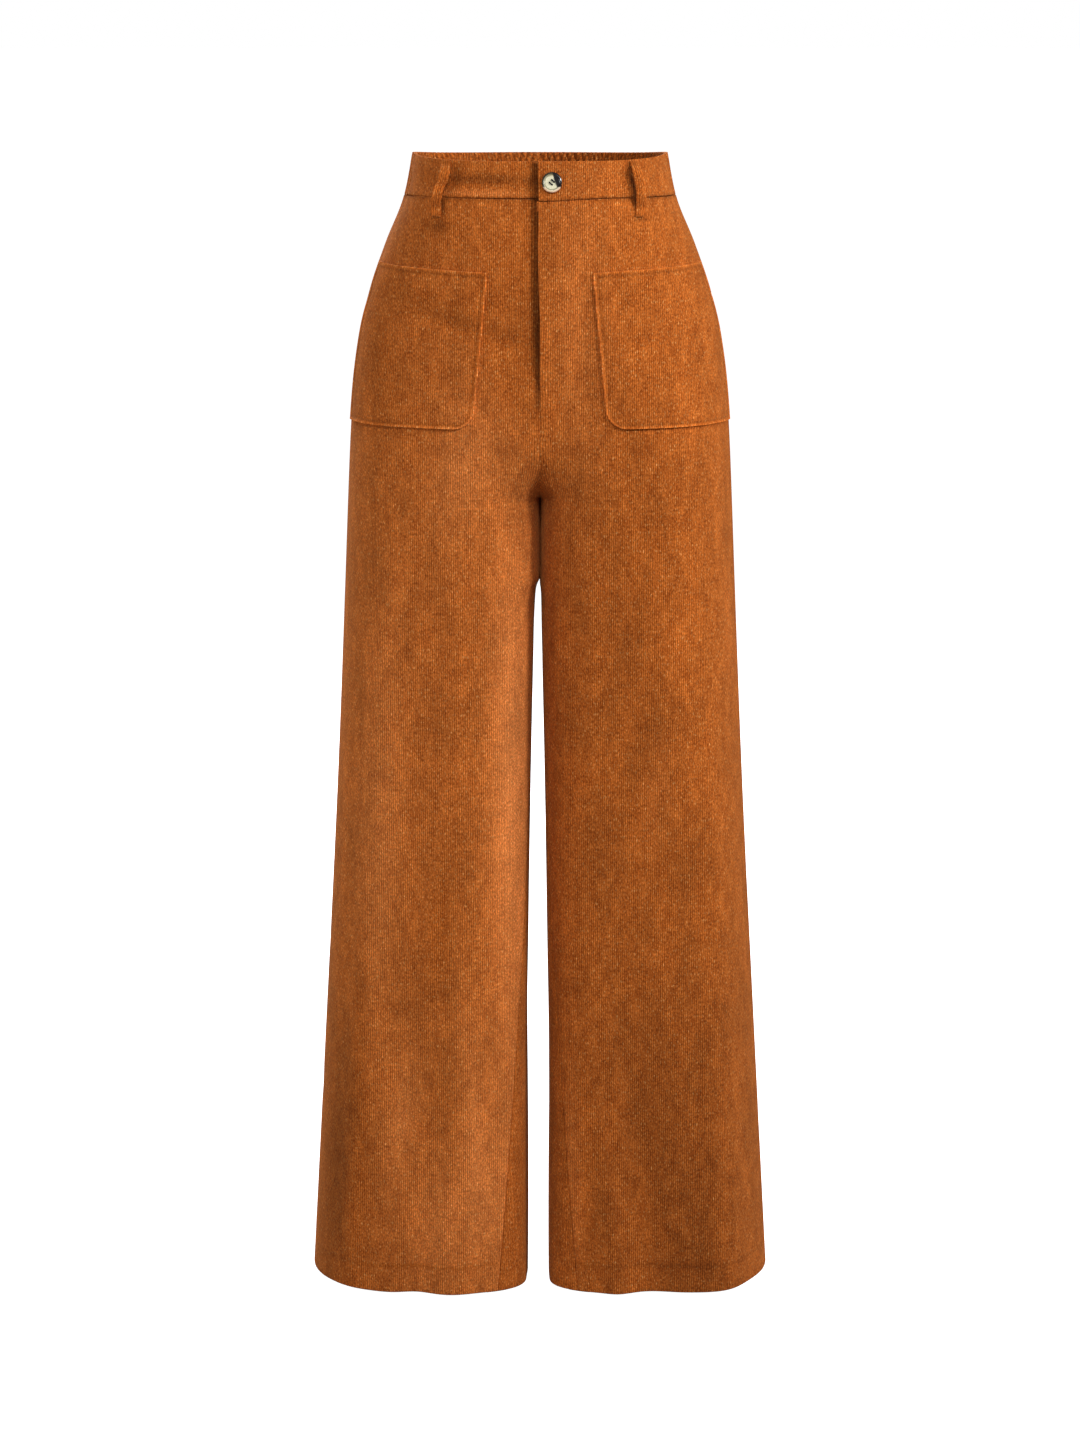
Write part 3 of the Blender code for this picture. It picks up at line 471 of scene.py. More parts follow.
def half_section(side, level):
    """The outline from the inner edge round the front, side and back, and how it goes on past its two ends."""
    size = {name: smooth_curve(SECTIONS, name, level) for name in Section._fields[1:]}
    below = level >= CROTCH_LEVEL
    inner_level = max(level, CROTCH_LEVEL)
    lean = GAP_LEAN * float(ease((inner_level - CROTCH_LEVEL) / GAP_LEAN_RUN))
    inner_x = max(smooth_curve(INNERS, "x", inner_level) - side * lean, INNERS[0].x)
    inner_x = INNERS[0].x if inner_level < LEGS_PART else inner_x
    inner = (inner_x if below else 0.0, smooth_curve(INNERS, "y", inner_level))
    roundness = smooth_curve(INNERS, "roundness", inner_level)
    front_peak = (size["front_peak"], -size["front"])
    back_peak = (size["back_peak"], size["back"])
    front_in = 1.0 if below else curve_share(level, FRONT_CURVE_LEVEL)
    back_in = 1.0 if below else curve_share(level, BACK_CURVE_LEVEL)
    wide, side_y = size["half_width"], size["widest_y"]
    front_reach = (wide - front_peak[0], front_peak[1] - side_y)
    back_reach = (wide - back_peak[0], back_peak[1] - side_y)
    parts = [
        inner_quarter(front_peak, inner, front_in, roundness),
        quadrant((front_peak[0], side_y), front_reach, OUTER_ROUNDNESS),
        quadrant((back_peak[0], side_y), back_reach, OUTER_ROUNDNESS)[::-1],
        inner_quarter(back_peak, inner, back_in, roundness)[::-1],
    ]
    points = np.concatenate(parts)
    steps = np.hypot(*np.diff(points, axis=0).T)
    points = points[np.concatenate([[True], steps > 1e-9])]
    return points, front_in == 0.0, back_in == 0.0


def lap_height(side, along, rise, sink, flat):
    """The left side rises over the right side at the centre front, and the right side sinks."""
    if side > 0:
        return rise * (1.0 - ease((along - flat) / flat))
    return -sink * (1.0 - ease((along - SINK_START) / SINK_RUN))


def fly_height(side, face, level, along):
    """The lap of the fly on the front panels and on the band."""
    if face != "front":
        return np.zeros(np.shape(along))
    band = lap_height(side, along, BAND_RISE, BAND_SINK, LAP_FLAT)
    fade = 1.0 - ease((level - FLY_BOTTOM + FLY_FADE) / FLY_FADE)
    fly = fade * lap_height(side, along, FLY_RISE, FLY_SINK, FLY_WIDE)
    return np.where(level < BAND_DEEP, band, fly)


def gather_height(face, level, from_side):
    """The elastic's gathers on the back of the waistband, and how they fade down the back panels."""
    if face != "back":
        return 0.0
    look = bpy.context.scene.trouser_cloth
    place = from_side / look.gather_pitch
    uneven = 0.55 * np.sin(from_side * 47.0) + 0.30 * np.sin(from_side * 131.0 + 1.0)
    fine = np.sin(2 * math.pi * (place + uneven)) * (0.75 + 0.25 * np.sin(from_side * 83.0))
    coarse = np.sin(2 * math.pi * (place / PANEL_GATHER_WIDE + 0.35 * uneven + 0.2))
    below = np.maximum(level - BAND_DEEP, 0.0)
    band = look.gather_depth * fine
    panel = look.gather_depth * PANEL_GATHER_DEEP * coarse * np.exp(-below / GATHER_FADE)
    return np.where(level < BAND_DEEP, band, panel) * ease(from_side / GATHER_START)


class Form:
    """The outer face of the cloth on one side, sampled over levels and over lengths away from the side seam.

    A length away is below 0 on the front and above 0 on the back."""

    def __init__(self, side):
        self.side = side
        self.levels = np.linspace(0.0, LENGTH, round(LENGTH / LATTICE_DOWN) + 1)
        self.places = np.arange(-LATTICE_REACH, LATTICE_REACH, LATTICE_ACROSS)
        self.seams, self.wholes, rows = [], [], []
        self.grains = {"front": [], "back": []}
        for level in self.levels:
            points, front_mirrored, back_mirrored = half_section(side, level)
            lengths = np.concatenate([[0.0], np.cumsum(np.hypot(*np.diff(points, axis=0).T))])
            widest = int(np.argmax(points[:, 0]))
            seam = lengths[widest] - SIDE_SEAM_FORWARD
            along, whole = seam + self.places, lengths[-1]
            if level >= CROTCH_LEVEL:
                along = np.mod(along, whole)
            before, after = np.maximum(-along, 0.0), np.maximum(along - whole, 0.0)
            place = np.clip(along, 0.0, whole) + front_mirrored * before - back_mirrored * after
            x = np.interp(place, lengths, points[:, 0])
            y = np.interp(place, lengths, points[:, 1])
            x = np.where((front_mirrored & (before > 0)) | (back_mirrored & (after > 0)), -x, x)
            y = y + (not front_mirrored) * before - (not back_mirrored) * after
            rows.append(np.stack([x + HALF_GAP, y], axis=1))
            self.seams.append(seam)
            self.wholes.append(whole)
            front, back = points[: widest + 1, 0], points[widest:, 0]
            self.grains["front"].append(float(np.interp(GRAIN_X, front, lengths[: widest + 1])) - seam)
            self.grains["back"].append(float(np.interp(-GRAIN_X, -back, lengths[widest:])) - seam)
        self.table = np.array(rows)
        self.widths = {face: self.measure_widths(face) for face in FACES}

    def measure_widths(self, face):
        """The widths of a panel from the side seam to its inner edge, at each of the form's levels."""
        below = self.levels >= CROTCH_LEVEL
        turn = np.array([smooth_curve(INNERS, "inseam_turn", level) for level in self.levels])
        if face == "back":
            return np.array(self.wholes) - self.seams + np.where(below, turn - HALF_GAP, 0.0)
        lean = np.array([smooth_curve(FLY_LEANS, "x", level) for level in self.levels])
        return self.seams - np.where(below, turn + HALF_GAP, self.side * lean)

    def flat(self, level, away):
        """The place in plan at a level and a length away from the side seam."""
        down = np.clip(level / LATTICE_DOWN, 0.0, len(self.levels) - 1.001)
        across = np.clip((away + LATTICE_REACH) / LATTICE_ACROSS, 0.0, len(self.places) - 1.001)
        i, j = down.astype(int), across.astype(int)
        u, v = (down - i)[..., None], (across - j)[..., None]
        table = self.table
        upper = table[i, j] * (1 - v) + table[i, j + 1] * v
        lower = table[i + 1, j] * (1 - v) + table[i + 1, j + 1] * v
        return upper * (1 - u) + lower * u

    def seam(self, level):
        """The length to the side seam from the front's inner edge, or from a leg's innermost point."""
        return np.interp(level, self.levels, self.seams)

    def width(self, face, level):
        """The width of a panel from the side seam to its inner edge."""
        return np.interp(level, self.levels, self.widths[face])

    def grain(self, face, level):
        """The length away from the side seam of the panel's grain line, which stands upright."""
        return np.interp(level, self.levels, self.grains[face])

    def height(self, face, level, away, x):
        """How far laps, folds, creases and gathers move the cloth out of the plain form."""
        height = fly_height(self.side, face, level, self.seam(level) + away)
        width, from_side = self.width(face, level), np.abs(away)
        fade = ease((width - from_side) / FOLD_FADE) * ease(from_side / FOLD_FADE)
        for fold in FOLDS:
            if (fold.side, fold.face) == (self.side, face):
                t = np.clip((level - fold.top) / (fold.bottom - fold.top), 0.0, 1.0)
                share = fold.share_top + (fold.share_bottom - fold.share_top) * t
                across = from_side - (1.0 - share) * width
                height = height + fade * fold.height * np.sin(np.pi * t) * bell(across, fold.half_width)
        height = height + soft_marks(CREASES, self.side, face, level, x)
        return height + gather_height(face, level, from_side)

    def place(self, face, level, away):
        """Points of the outer face."""
        level, away = np.broadcast_arrays(np.asarray(level, float), np.asarray(away, float))
        flat = self.flat(level, away)
        tangent = self.flat(level, away + STEP) - self.flat(level, away - STEP)
        tangent /= np.maximum(np.linalg.norm(tangent, axis=-1, keepdims=True), 1e-12)
        out = np.stack([tangent[..., 1], -tangent[..., 0]], axis=-1)
        flat = flat + out * self.height(face, level, away, flat[..., 0])[..., None]
        front_dip = FRONT_DIP * ease(-flat[..., 1] / SECTIONS[0].front)
        back_dip = BACK_DIP * ease(flat[..., 1] / SECTIONS[0].back)
        dip = np.where(flat[..., 1] < 0, front_dip, back_dip)
        drop = level + dip * np.maximum(0.0, 1.0 - level / BAND_DEEP)
        return np.stack([self.side * flat[..., 0], flat[..., 1], -drop], axis=-1)

    def normal(self, face, level, away, reach=STEP):
        """The way out of the cloth, from points a reach apart across it."""
        level, away = np.broadcast_arrays(np.asarray(level, float), np.asarray(away, float))
        above = ((level < BAND_DEEP) & (level + STEP >= BAND_DEEP)) | (level + STEP > LENGTH)
        step = np.where(above, -STEP, STEP)
        across = self.place(face, level, away + reach) - self.place(face, level, away - reach)
        down = (self.place(face, level + step, away) - self.place(face, level, away)) / step[..., None]
        normal = np.cross(down, across) * self.side
        return normal / np.linalg.norm(normal, axis=-1, keepdims=True)

    def offset(self, face, level, away, out):
        """Points moved out of the outer face, or into it where out is below 0."""
        return self.place(face, level, away) + self.normal(face, level, away) * np.asarray(out)[..., None]


FORMS = {}


def soft_marks(marks, side, face, level, x):
    """The sum of the soft creases or patches on one face of one side."""
    total = np.zeros(np.shape(level))
    for mark in marks:
        if (mark.side, mark.face) == (side, face):
            turn = math.radians(mark.turn)
            down, out = level - mark.level, x - mark.across
            along = down * math.cos(turn) + out * math.sin(turn)
            across = out * math.cos(turn) - down * math.sin(turn)
            total = total + mark.height * bell(along, mark.long) * bell(across, mark.wide)
    return total


def painted_light_tone(side, face, level, x):
    """The painted light and shade on the pile at a level and a half width x, with painted shade along the seams and
    beside the fly's lap.
    """
    tone = soft_marks(PAINTED_LIGHT_PATCHES, side, face, level, x) + soft_lines(SEAM_SHADE, level)
    if (side, face) == (-1, "front"):
        reach = np.interp(level, FLY_SHADE_LEVELS, FLY_SHADE_REACHES)
        fade = 1.0 - ease((level - FLY_SHADE_END) / FLY_SHADE_FADE)
        tone = tone - FLY_SHADE * np.exp(-((np.maximum(x, 0.0) / reach) ** 4)) * fade
    return np.maximum(tone, DEEPEST_SHADE)


def foot_drop(side, along):
    """How much lower the band's seam runs beside the fly's overlap."""
    return BAND_STEP[side] * bell(np.maximum(along, 0.0), BAND_STEP_RUN)


def form_of(side):
    """The form of one side, made once."""
    if side not in FORMS:
        FORMS[side] = Form(side)
    return FORMS[side]


def inner_levels(face, top, bottom, torso, leg):
    """Levels of a panel's inner edge: down the centre, round the crotch curve and down the inseam."""
    start = FRONT_CURVE_LEVEL if face == "front" else BACK_CURVE_LEVEL
    peak = smooth_curve(SECTIONS, face, start) * FACES[face]
    angle = np.linspace(0, math.pi / 2, ARC_POINTS)
    curve = start + (CROTCH_LEVEL - start) * np.sin(angle)
    steps = np.hypot(np.diff(curve), np.diff(np.cos(angle)) * (peak - INNERS[0].y))
    lengths = np.concatenate([[0.0], start - top + np.concatenate([[0.0], np.cumsum(steps)])])
    even = np.linspace(0, lengths[-1], torso)
    upper = np.interp(even, lengths, np.concatenate([[top], curve]))
    return np.concatenate([upper, np.linspace(CROTCH_LEVEL, bottom, leg)[1:]])


def side_levels(top, bottom, torso, leg):
    """Levels of a panel's side seam, a row for each of the inner edge's."""
    upper = np.linspace(top, CROTCH_ROW_AT_SIDE, torso)
    return np.concatenate([upper, np.linspace(CROTCH_ROW_AT_SIDE, bottom, leg)[1:]])


def turned_edge(allowance, radius):
    """A turned-in edge from its raw end to where the face starts.

    Gives the distance in from the edge, the depth under the face and the flat cloth's distance in."""
    angle = np.linspace(math.pi, 0, FOLD_STEPS + 1)
    back = np.linspace(allowance, 0, ALLOWANCE_STEPS + 1)[:-1]
    run = np.concatenate([radius + back, radius * (1 - np.sin(angle))])
    depth = np.concatenate([np.full(len(back), 2 * radius), radius * (1 - np.cos(angle))])
    flat = np.concatenate([radius - back - math.pi * radius, radius - angle * radius])
    return run, depth, flat


def add_object(name, bm):
    """Links a new object made from a bmesh."""
    mesh = bpy.data.meshes.new(name)
    bm.to_mesh(mesh)
    bm.free()
    made = bpy.data.objects.new(name, mesh)
    bpy.context.scene.collection.objects.link(made)
    return made


def laid_grid(name, points, pattern, outward, wear_and_highlight, painted_light):
    """A grid mesh object laid on an array of points.

    The flat pattern is its UV map, in metres; the edge values say where an edge is worn and carries a painted
    highlight, and the pile values where painted light and shade lie on the pile."""
    rows, columns = points.shape[:2]
    bm = bmesh.new()
    bmesh.ops.create_grid(bm, x_segments=columns - 1, y_segments=rows - 1, size=0.5)
    made = add_object(name, bm)
    mesh = made.data
    flat = np.empty(len(mesh.vertices) * 3)
    mesh.vertices.foreach_get("co", flat)
    flat = flat.reshape(-1, 3)
    column = np.rint((flat[:, 0] + 0.5) * (columns - 1)).astype(int)
    row = np.rint((0.5 - flat[:, 1]) * (rows - 1)).astype(int)
    mesh.vertices.foreach_set("co", points[row, column].ravel())
    corners = np.empty(len(mesh.loops), dtype=int)
    mesh.loops.foreach_get("vertex_index", corners)
    layer = mesh.uv_layers.new(name="pattern")
    layer.data.foreach_set("uv", pattern[row[corners], column[corners]].ravel())
    for label, values in (("wear_and_highlight", wear_and_highlight), ("painted_light", painted_light)):
        mesh.attributes.new(label, "FLOAT", "POINT").data.foreach_set("value", values[row, column].ravel())
    mesh.polygons.foreach_set("use_smooth", np.ones(len(mesh.polygons), dtype=bool))
    mesh.update()
    normals = np.empty(len(mesh.vertices) * 3)
    mesh.vertex_normals.foreach_get("vector", normals)
    if (normals.reshape(-1, 3) * outward[row, column]).sum() < 0:
        mesh.flip_normals()
    return made


def thicken(piece, thickness, offset, edge=0.0):
    """Gives a sheet its thickness, and rounds its rim where edge is above 0."""
    solid = piece.modifiers.new("thickness", "SOLIDIFY")
    solid.thickness = thickness
    solid.offset = offset
    if edge > 0.0:
        bevel = piece.modifiers.new("rounded_rim", "BEVEL")
        bevel.width = edge
        bevel.segments = 3
        bevel.limit_method = "ANGLE"
        bevel.angle_limit = math.radians(50)


def cut_size(pattern):
    """Width, length and area of a flat pattern."""
    a, b, c, d = pattern[:-1, :-1], pattern[:-1, 1:], pattern[1:, 1:], pattern[1:, :-1]
    first, second = c - a, d - b
    area = np.abs(first[..., 0] * second[..., 1] - first[..., 1] * second[..., 0]).sum() / 2
    width, length = np.ptp(pattern[..., 0]), np.ptp(pattern[..., 1])
    return float(width), float(length), float(area)


def place_piece(piece, material):
    """Finishes a piece, and puts one of cloth in the stead of the CAD node that it is named for."""
    piece.data.materials.append(material)
    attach(piece, "root")
    node = piece.name.removesuffix("_cloth")
    if node != piece.name:
        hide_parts(node)


def declare_sheet(pattern):
    """Works out the width, length and area of a piece's flat cut; nothing is done with them."""
    width, length, area = cut_size(pattern)
    area = min(area, width * length)


def centre_gap(out, runs, inner):
    """How far a panel's turned edge stands off the middle plane along the crotch curve, faded into the panel."""
    nearest = np.argmin(runs[0])
    gap = np.maximum(out[:, nearest] + SEAM_LAP, 0.0) * (inner <= CROTCH_LEVEL + CROTCH_PAST)
    return gap[:, None] * (1.0 - ease((runs - CENTRE_GAP_START) / CENTRE_GAP_FADE))


def turned_rows(top, row, top_turn, hem_turn):
    """A row of levels with the turned-in top before it and the turned-up hem after it."""
    return np.concatenate([top + top_turn[:-1], row, LENGTH - hem_turn[-2::-1]])


def leg_panel(name, side, face):
    """A front or back panel with its edges turned in and its hem turned up."""
    look = bpy.context.scene.trouser_cloth
    form, radius = form_of(side), look.fold_radius
    top, count = BAND_DEEP + HALF_GAP, FRONT_COLUMNS if face == "front" else BACK_COLUMNS
    top_run, top_depth, top_flat = turned_edge(TOP_ALLOWANCE, radius)
    hem_run, hem_depth, hem_flat = turned_edge(look.hem_depth, radius)
    first, last = top + radius, LENGTH - radius
    inner_row = inner_levels(face, first, last, TORSO_ROWS, LEG_ROWS)
    side_row = side_levels(first, last, TORSO_ROWS, LEG_ROWS)
    inner, outer = (turned_rows(top, row, top_run, hem_run) for row in (inner_row, side_row))
    inner_flat, outer_flat = (turned_rows(top, row, top_flat, hem_flat) for row in (inner_row, side_row))
    row_depth = np.concatenate([top_depth[:-1], np.zeros(len(side_row)), hem_depth[-2::-1]])[:, None]
    width = (form.width(face, inner) - HALF_GAP)[:, None]
    run, depth, flat = turned_edge(SEAM_ALLOWANCE, radius)
    share = np.linspace(0, 1, count)[1:-1]
    middle = radius + (width - 2 * radius) * share
    runs = np.concatenate([np.tile(run, (len(inner), 1)), middle, width - run[::-1]], axis=1)
    flats = np.concatenate([np.tile(flat, (len(inner), 1)), middle, width - flat[::-1]], axis=1)
    depths = np.concatenate([depth, np.zeros(len(share)), depth[::-1]])[None, :]
    share = np.clip(runs / width, 0, 1)
    away = FACES[face] * (HALF_GAP + width - runs)
    level = outer[:, None] + (inner - outer)[:, None] * (1 - share) ** 2
    if face == "front":
        drop = foot_drop(side, form.seam(level) + away)
        level = level + drop * (1.0 - ease((level - top) / BAND_STEP_FADE))
    level_flat = outer_flat[:, None] + (inner_flat - outer_flat)[:, None] * (1 - share) ** 2
    away_flat = FACES[face] * (HALF_GAP + width - flats)
    normal = form.normal(face, level, away)
    points = form.place(face, level, away) - normal * (row_depth + depths)[..., None]
    points[..., 0] -= side * centre_gap(points[..., 0] * side, runs, inner)
    pattern = np.stack([side * (away_flat - form.grain(face, level)), -level_flat], axis=-1)
    # A painted highlight on worn pile along the panel's top and the fly's edge
    wear_and_highlight = soft_lines(PANEL_TOP_WEAR_AND_HIGHLIGHT, level - top)
    if (side, face) == (1, "front"):
        fade = 1.0 - ease((level - FLY_BOTTOM) / FLY_WEAR_AND_HIGHLIGHT_FADE + 1.0)
        wear_and_highlight = np.maximum(soft_lines(FLY_WEAR_AND_HIGHLIGHT, runs) * fade, wear_and_highlight)
    # Painted light and shade on the pile, the painted shadow beside the fly included
    painted_light = painted_light_tone(side, face, level, np.abs(points[..., 0]))
    piece = laid_grid(name, points, pattern, normal, wear_and_highlight, painted_light)
    thicken(piece, look.thickness, -1.0)
    place_piece(piece, corduroy())
    declare_sheet(pattern)


def band_piece(name, points, normals, pattern):
    """A length of waistband: a double layer with soft edges."""
    look = bpy.context.scene.trouser_cloth
    thickness = 2 * look.fold_radius
    level = np.linspace(0.0, BAND_DEEP, points.shape[0])[:, None] + np.zeros(points.shape[:2])
    x = points[..., 0]
    # Painted light and shade on the band's pile
    if "back" in name:
        painted_light = np.where(x > 0, painted_light_tone(1, "back", level, x), painted_light_tone(-1, "back", level, -x))
    else:
        side = 1 if "left" in name else -1
        painted_light = painted_light_tone(side, "front", level, side * x)
    # A painted highlight on worn pile along the band's edges and at its starting end
    wear_and_highlight = soft_lines(BAND_WEAR_AND_HIGHLIGHT, np.minimum(level, BAND_DEEP - level))
    wear_and_highlight[:, :2] = BAND_END_WEAR_AND_HIGHLIGHT
    piece = laid_grid(name, points - normals * thickness / 2, pattern, normals, wear_and_highlight, painted_light)
    thicken(piece, thickness, 0.0, look.fold_radius * 0.9)
    place_piece(piece, corduroy())
    declare_sheet(pattern)


def front_band(name, side, start):
    """A front half of the waistband, from start (a length past the centre) to the side seam."""
    form = form_of(side)
    rows = np.linspace(0.0, BAND_DEEP - BAND_GROOVE, BAND_ROWS)[:, None]
    seam = form.seam(rows)
    along = start + (seam - HALF_GAP - start) * np.linspace(0, 1, FRONT_BAND_COLUMNS)[None, :]
    rows = rows * (1.0 + foot_drop(side, along) / BAND_DEEP)
    level, away = np.broadcast_arrays(rows, along - seam)
    normals = form.normal("front", level, away)
    pattern = np.stack([side * (away - form.grain("front", level)), -level], axis=-1)
    band_piece(name, form.place("front", level, away), normals, pattern)


def back_band(name):
    """The elasticated back of the waistband, from side seam to side seam."""
    grids = []
    for side in (-1, 1):
        form = form_of(side)
        rows = np.linspace(0.0, BAND_DEEP + 2 * SEAM_LAP, BAND_ROWS)[:, None]
        away = HALF_GAP + (form.width("back", rows) - HALF_GAP) * np.linspace(0, 1, BACK_BAND_COLUMNS)[None, :]
        level, away = np.broadcast_arrays(rows, away)
        normals = form.normal("back", level, away)
        pattern = np.stack([side * (away - form.width("back", level)), -level], axis=-1)
        grids.append((form.place("back", level, away), normals, pattern))
    joined = [np.concatenate([a[:, :-1], (a[:, -1:] + b[:, -1:]) / 2, b[:, -2::-1]], axis=1) for a, b in zip(*grids)]
    band_piece(name, *joined)


def patch_pocket(name, side):
    """A patch pocket on the front panel, its edges turned under and its top hemmed."""
    look = bpy.context.scene.trouser_cloth
    form = form_of(side)
    down = np.linspace(0, 1, POCKET_ROWS)
    even = down / POCKET_EVEN_ROWS * POCKET_EVEN_DEPTH
    last = np.sin(math.pi / 2 * (down - POCKET_EVEN_ROWS) / (1 - POCKET_EVEN_ROWS))
    share = np.where(down < POCKET_EVEN_ROWS, even, POCKET_EVEN_DEPTH + (1 - POCKET_EVEN_DEPTH) * last)
    across = np.linspace(0, 1, POCKET_COLUMNS)
    top = POCKET_TOP_INNER + (POCKET_TOP_OUTER - POCKET_TOP_INNER) * across
    level = top + (POCKET_BOTTOM - top) * share[:, None]
    inner = POCKET_INNER_TOP + (POCKET_INNER_BOTTOM - POCKET_INNER_TOP) * share[:, None]
    above = np.clip(POCKET_CORNER - (POCKET_BOTTOM - level), 0.0, POCKET_CORNER)
    inner = inner + POCKET_CORNER - np.sqrt(POCKET_CORNER ** 2 - above ** 2)
    seam = form.seam(level)
    along = inner + (seam - POCKET_TO_SIDE_SEAM - inner) * across
    away = along - seam
    from_edge = np.minimum(np.minimum(along - inner, POCKET_BOTTOM - level), seam - POCKET_TO_SIDE_SEAM - along)
    from_edge = np.minimum(from_edge, level - top)
    ridge = look.edge_ridge * soft_lines(POCKET_EDGE, from_edge)
    hem = soft_lines(POCKET_HEM, level - top) * ease((along - inner) / POCKET_HEM_FADE)
    normals = form.normal("front", level, away)
    thickness = look.pocket_thickness
    middle = POCKET_OFF_PANEL + thickness / 2 + ridge + hem
    points = form.place("front", level, away) + normals * middle[..., None]
    pattern = np.stack([side * (away - form.grain("front", level)), -level], axis=-1)
    # Painted light and shade on the pocket, with painted shade in the stitch groove inside its edge
    painted_light = painted_light_tone(side, "front", level, np.abs(points[..., 0])) + soft_lines(POCKET_SHADE, from_edge)
    # A painted highlight on worn pile round the pocket's edges
    piece = laid_grid(name, points, pattern, normals, soft_lines(POCKET_WEAR_AND_HIGHLIGHT, from_edge), painted_light)
    thicken(piece, thickness, 0.0, thickness * 0.42)
    place_piece(piece, corduroy())
    declare_sheet(pattern)


def away_at_x(form, face, level, x):
    """The length away from the side seam where a section reaches a half width x, on the front or the back."""
    places = np.arange(0.0, 0.22, 0.0005) * FACES[face]
    reached = form.flat(np.full(len(places), level), places)[:, 0]
    widest = int(np.argmax(reached))
    return float(np.interp(-x, -reached[widest:], places[widest:]))


def belt_loop(name, side, face):
    """A strip that stands off the band, held at the band's top and below its seam, twisted as it was sewn."""
    look = bpy.context.scene.trouser_cloth
    form = form_of(side)
    line_levels, line_xs, line_turns = np.array(LOOP_LINES[name.removesuffix("_cloth")]).T
    levels = np.linspace(LOOP_STANDS[0].level, LOOP_STANDS[-1].level, LOOP_ROWS)
    middles, normals, acrosses = [], [], []
    for level in levels:
        line_x, face_on = np.interp(level, line_levels, line_xs), np.interp(level, line_levels, line_turns)
        out = smooth_curve(LOOP_STANDS, "out", level) + look.loop_thickness / 2
        x = line_x
        for _ in range(3):
            away = away_at_x(form, face, level, x)
            normal = form.normal(face, level, away, LOOP_WIDE)
            x = line_x - side * normal[0] * out
        across = form.place(face, level, away + LOOP_WIDE) - form.place(face, level, away - LOOP_WIDE)
        across /= np.linalg.norm(across)
        across = across * (1 - face_on) + np.array([side * face_on, 0.0, 0.0])
        middle = form.place(face, level, away + np.array([-0.5, 0.5]) * LOOP_WIDE).mean(axis=0)
        middles.append(middle + normal * (out + (look.gather_depth if face == "back" else 0.0)))
        normals.append(normal)
        acrosses.append(across / np.linalg.norm(across))
    share = np.linspace(-0.5, 0.5, LOOP_COLUMNS)
    width = LOOP_WIDE * share
    bulge = LOOP_BULGE * np.cos(math.pi * share) ** 2
    middles, normals, acrosses = np.array(middles), np.array(normals), np.array(acrosses)
    points = middles[:, None] + acrosses[:, None] * width[None, :, None] + normals[:, None] * bulge[None, :, None]
    pattern = np.stack(np.broadcast_arrays(width[None, :], -levels[:, None]), axis=-1)
    # A painted highlight on worn pile along the loop's edges
    wear_and_highlight = np.broadcast_to(soft_lines(LOOP_WEAR_AND_HIGHLIGHT, LOOP_WIDE / 2 - np.abs(width)), points.shape[:2])
    # Painted shade on the loop near its top and at its foot
    painted_light = np.broadcast_to(soft_lines(LOOP_SHADE, levels)[:, None], points.shape[:2])
    piece = laid_grid(name, points, pattern, np.broadcast_to(normals[:, None], points.shape), wear_and_highlight, painted_light)
    thicken(piece, look.loop_thickness, 0.0, look.loop_thickness * 0.45)
    place_piece(piece, corduroy())


def zip_tape():
    """The woven tape of the closed zip behind the fly."""
    rows = np.linspace(ZIP_TOP, ZIP_BOTTOM, TAPE_ROWS)
    level, x = np.broadcast_arrays(rows[:, None], np.linspace(-ZIP_RIGHT, ZIP_LEFT, TAPE_COLUMNS)[None, :])
    front = np.array([smooth_curve(SECTIONS, "front", value) for value in rows])[:, None]
    cord = CORD_RISE * np.exp(-(((x - ZIP_LINE) / CORD_WIDE) ** 4))
    points = np.stack([x, cord + ZIP_DEPTH + ZIP_THICK / 2 - front, -level], axis=-1)
    pattern = np.stack([x, -level], axis=-1)
    plain = np.zeros(level.shape)
    outward = np.broadcast_to((0.0, -1.0, 0.0), points.shape)
    piece = laid_grid("fly_zip_cloth", points, pattern, outward, plain, plain)
    thicken(piece, TAPE_THICK, 0.0, TAPE_THICK * 0.3)
    place_piece(piece, grained("zip_tape_weave", TAPE_RUST, (1500.0, 1500.0, 600.0), 0.8))
    declare_sheet(pattern)


def zip_teeth(finish):
    """The teeth of the closed zip, by turns from the left and the right."""
    bm = bmesh.new()
    for number, level in enumerate(np.arange(ZIP_TOP + TOOTH_PITCH, ZIP_BOTTOM - TOOTH_PITCH, TOOTH_PITCH)):
        front = smooth_curve(SECTIONS, "front", level)
        sideways = TOOTH_SIDEWAYS if number % 2 else -TOOTH_SIDEWAYS
        place = Matrix.Translation((ZIP_LINE + sideways, ZIP_DEPTH + ZIP_THICK / 2 - front, -level))
        tooth = bmesh.ops.create_cube(bm, size=1.0, matrix=place @ Matrix.Diagonal((*TOOTH, 1.0)))
        edges = list({edge for vert in tooth["verts"] for edge in vert.link_edges})
        bmesh.ops.bevel(bm, geom=edges, offset=TOOTH_EDGE, segments=2, profile=0.5, affect="EDGES", material=-1)
    place_piece(add_object("fly_zip_teeth", bm), finish)


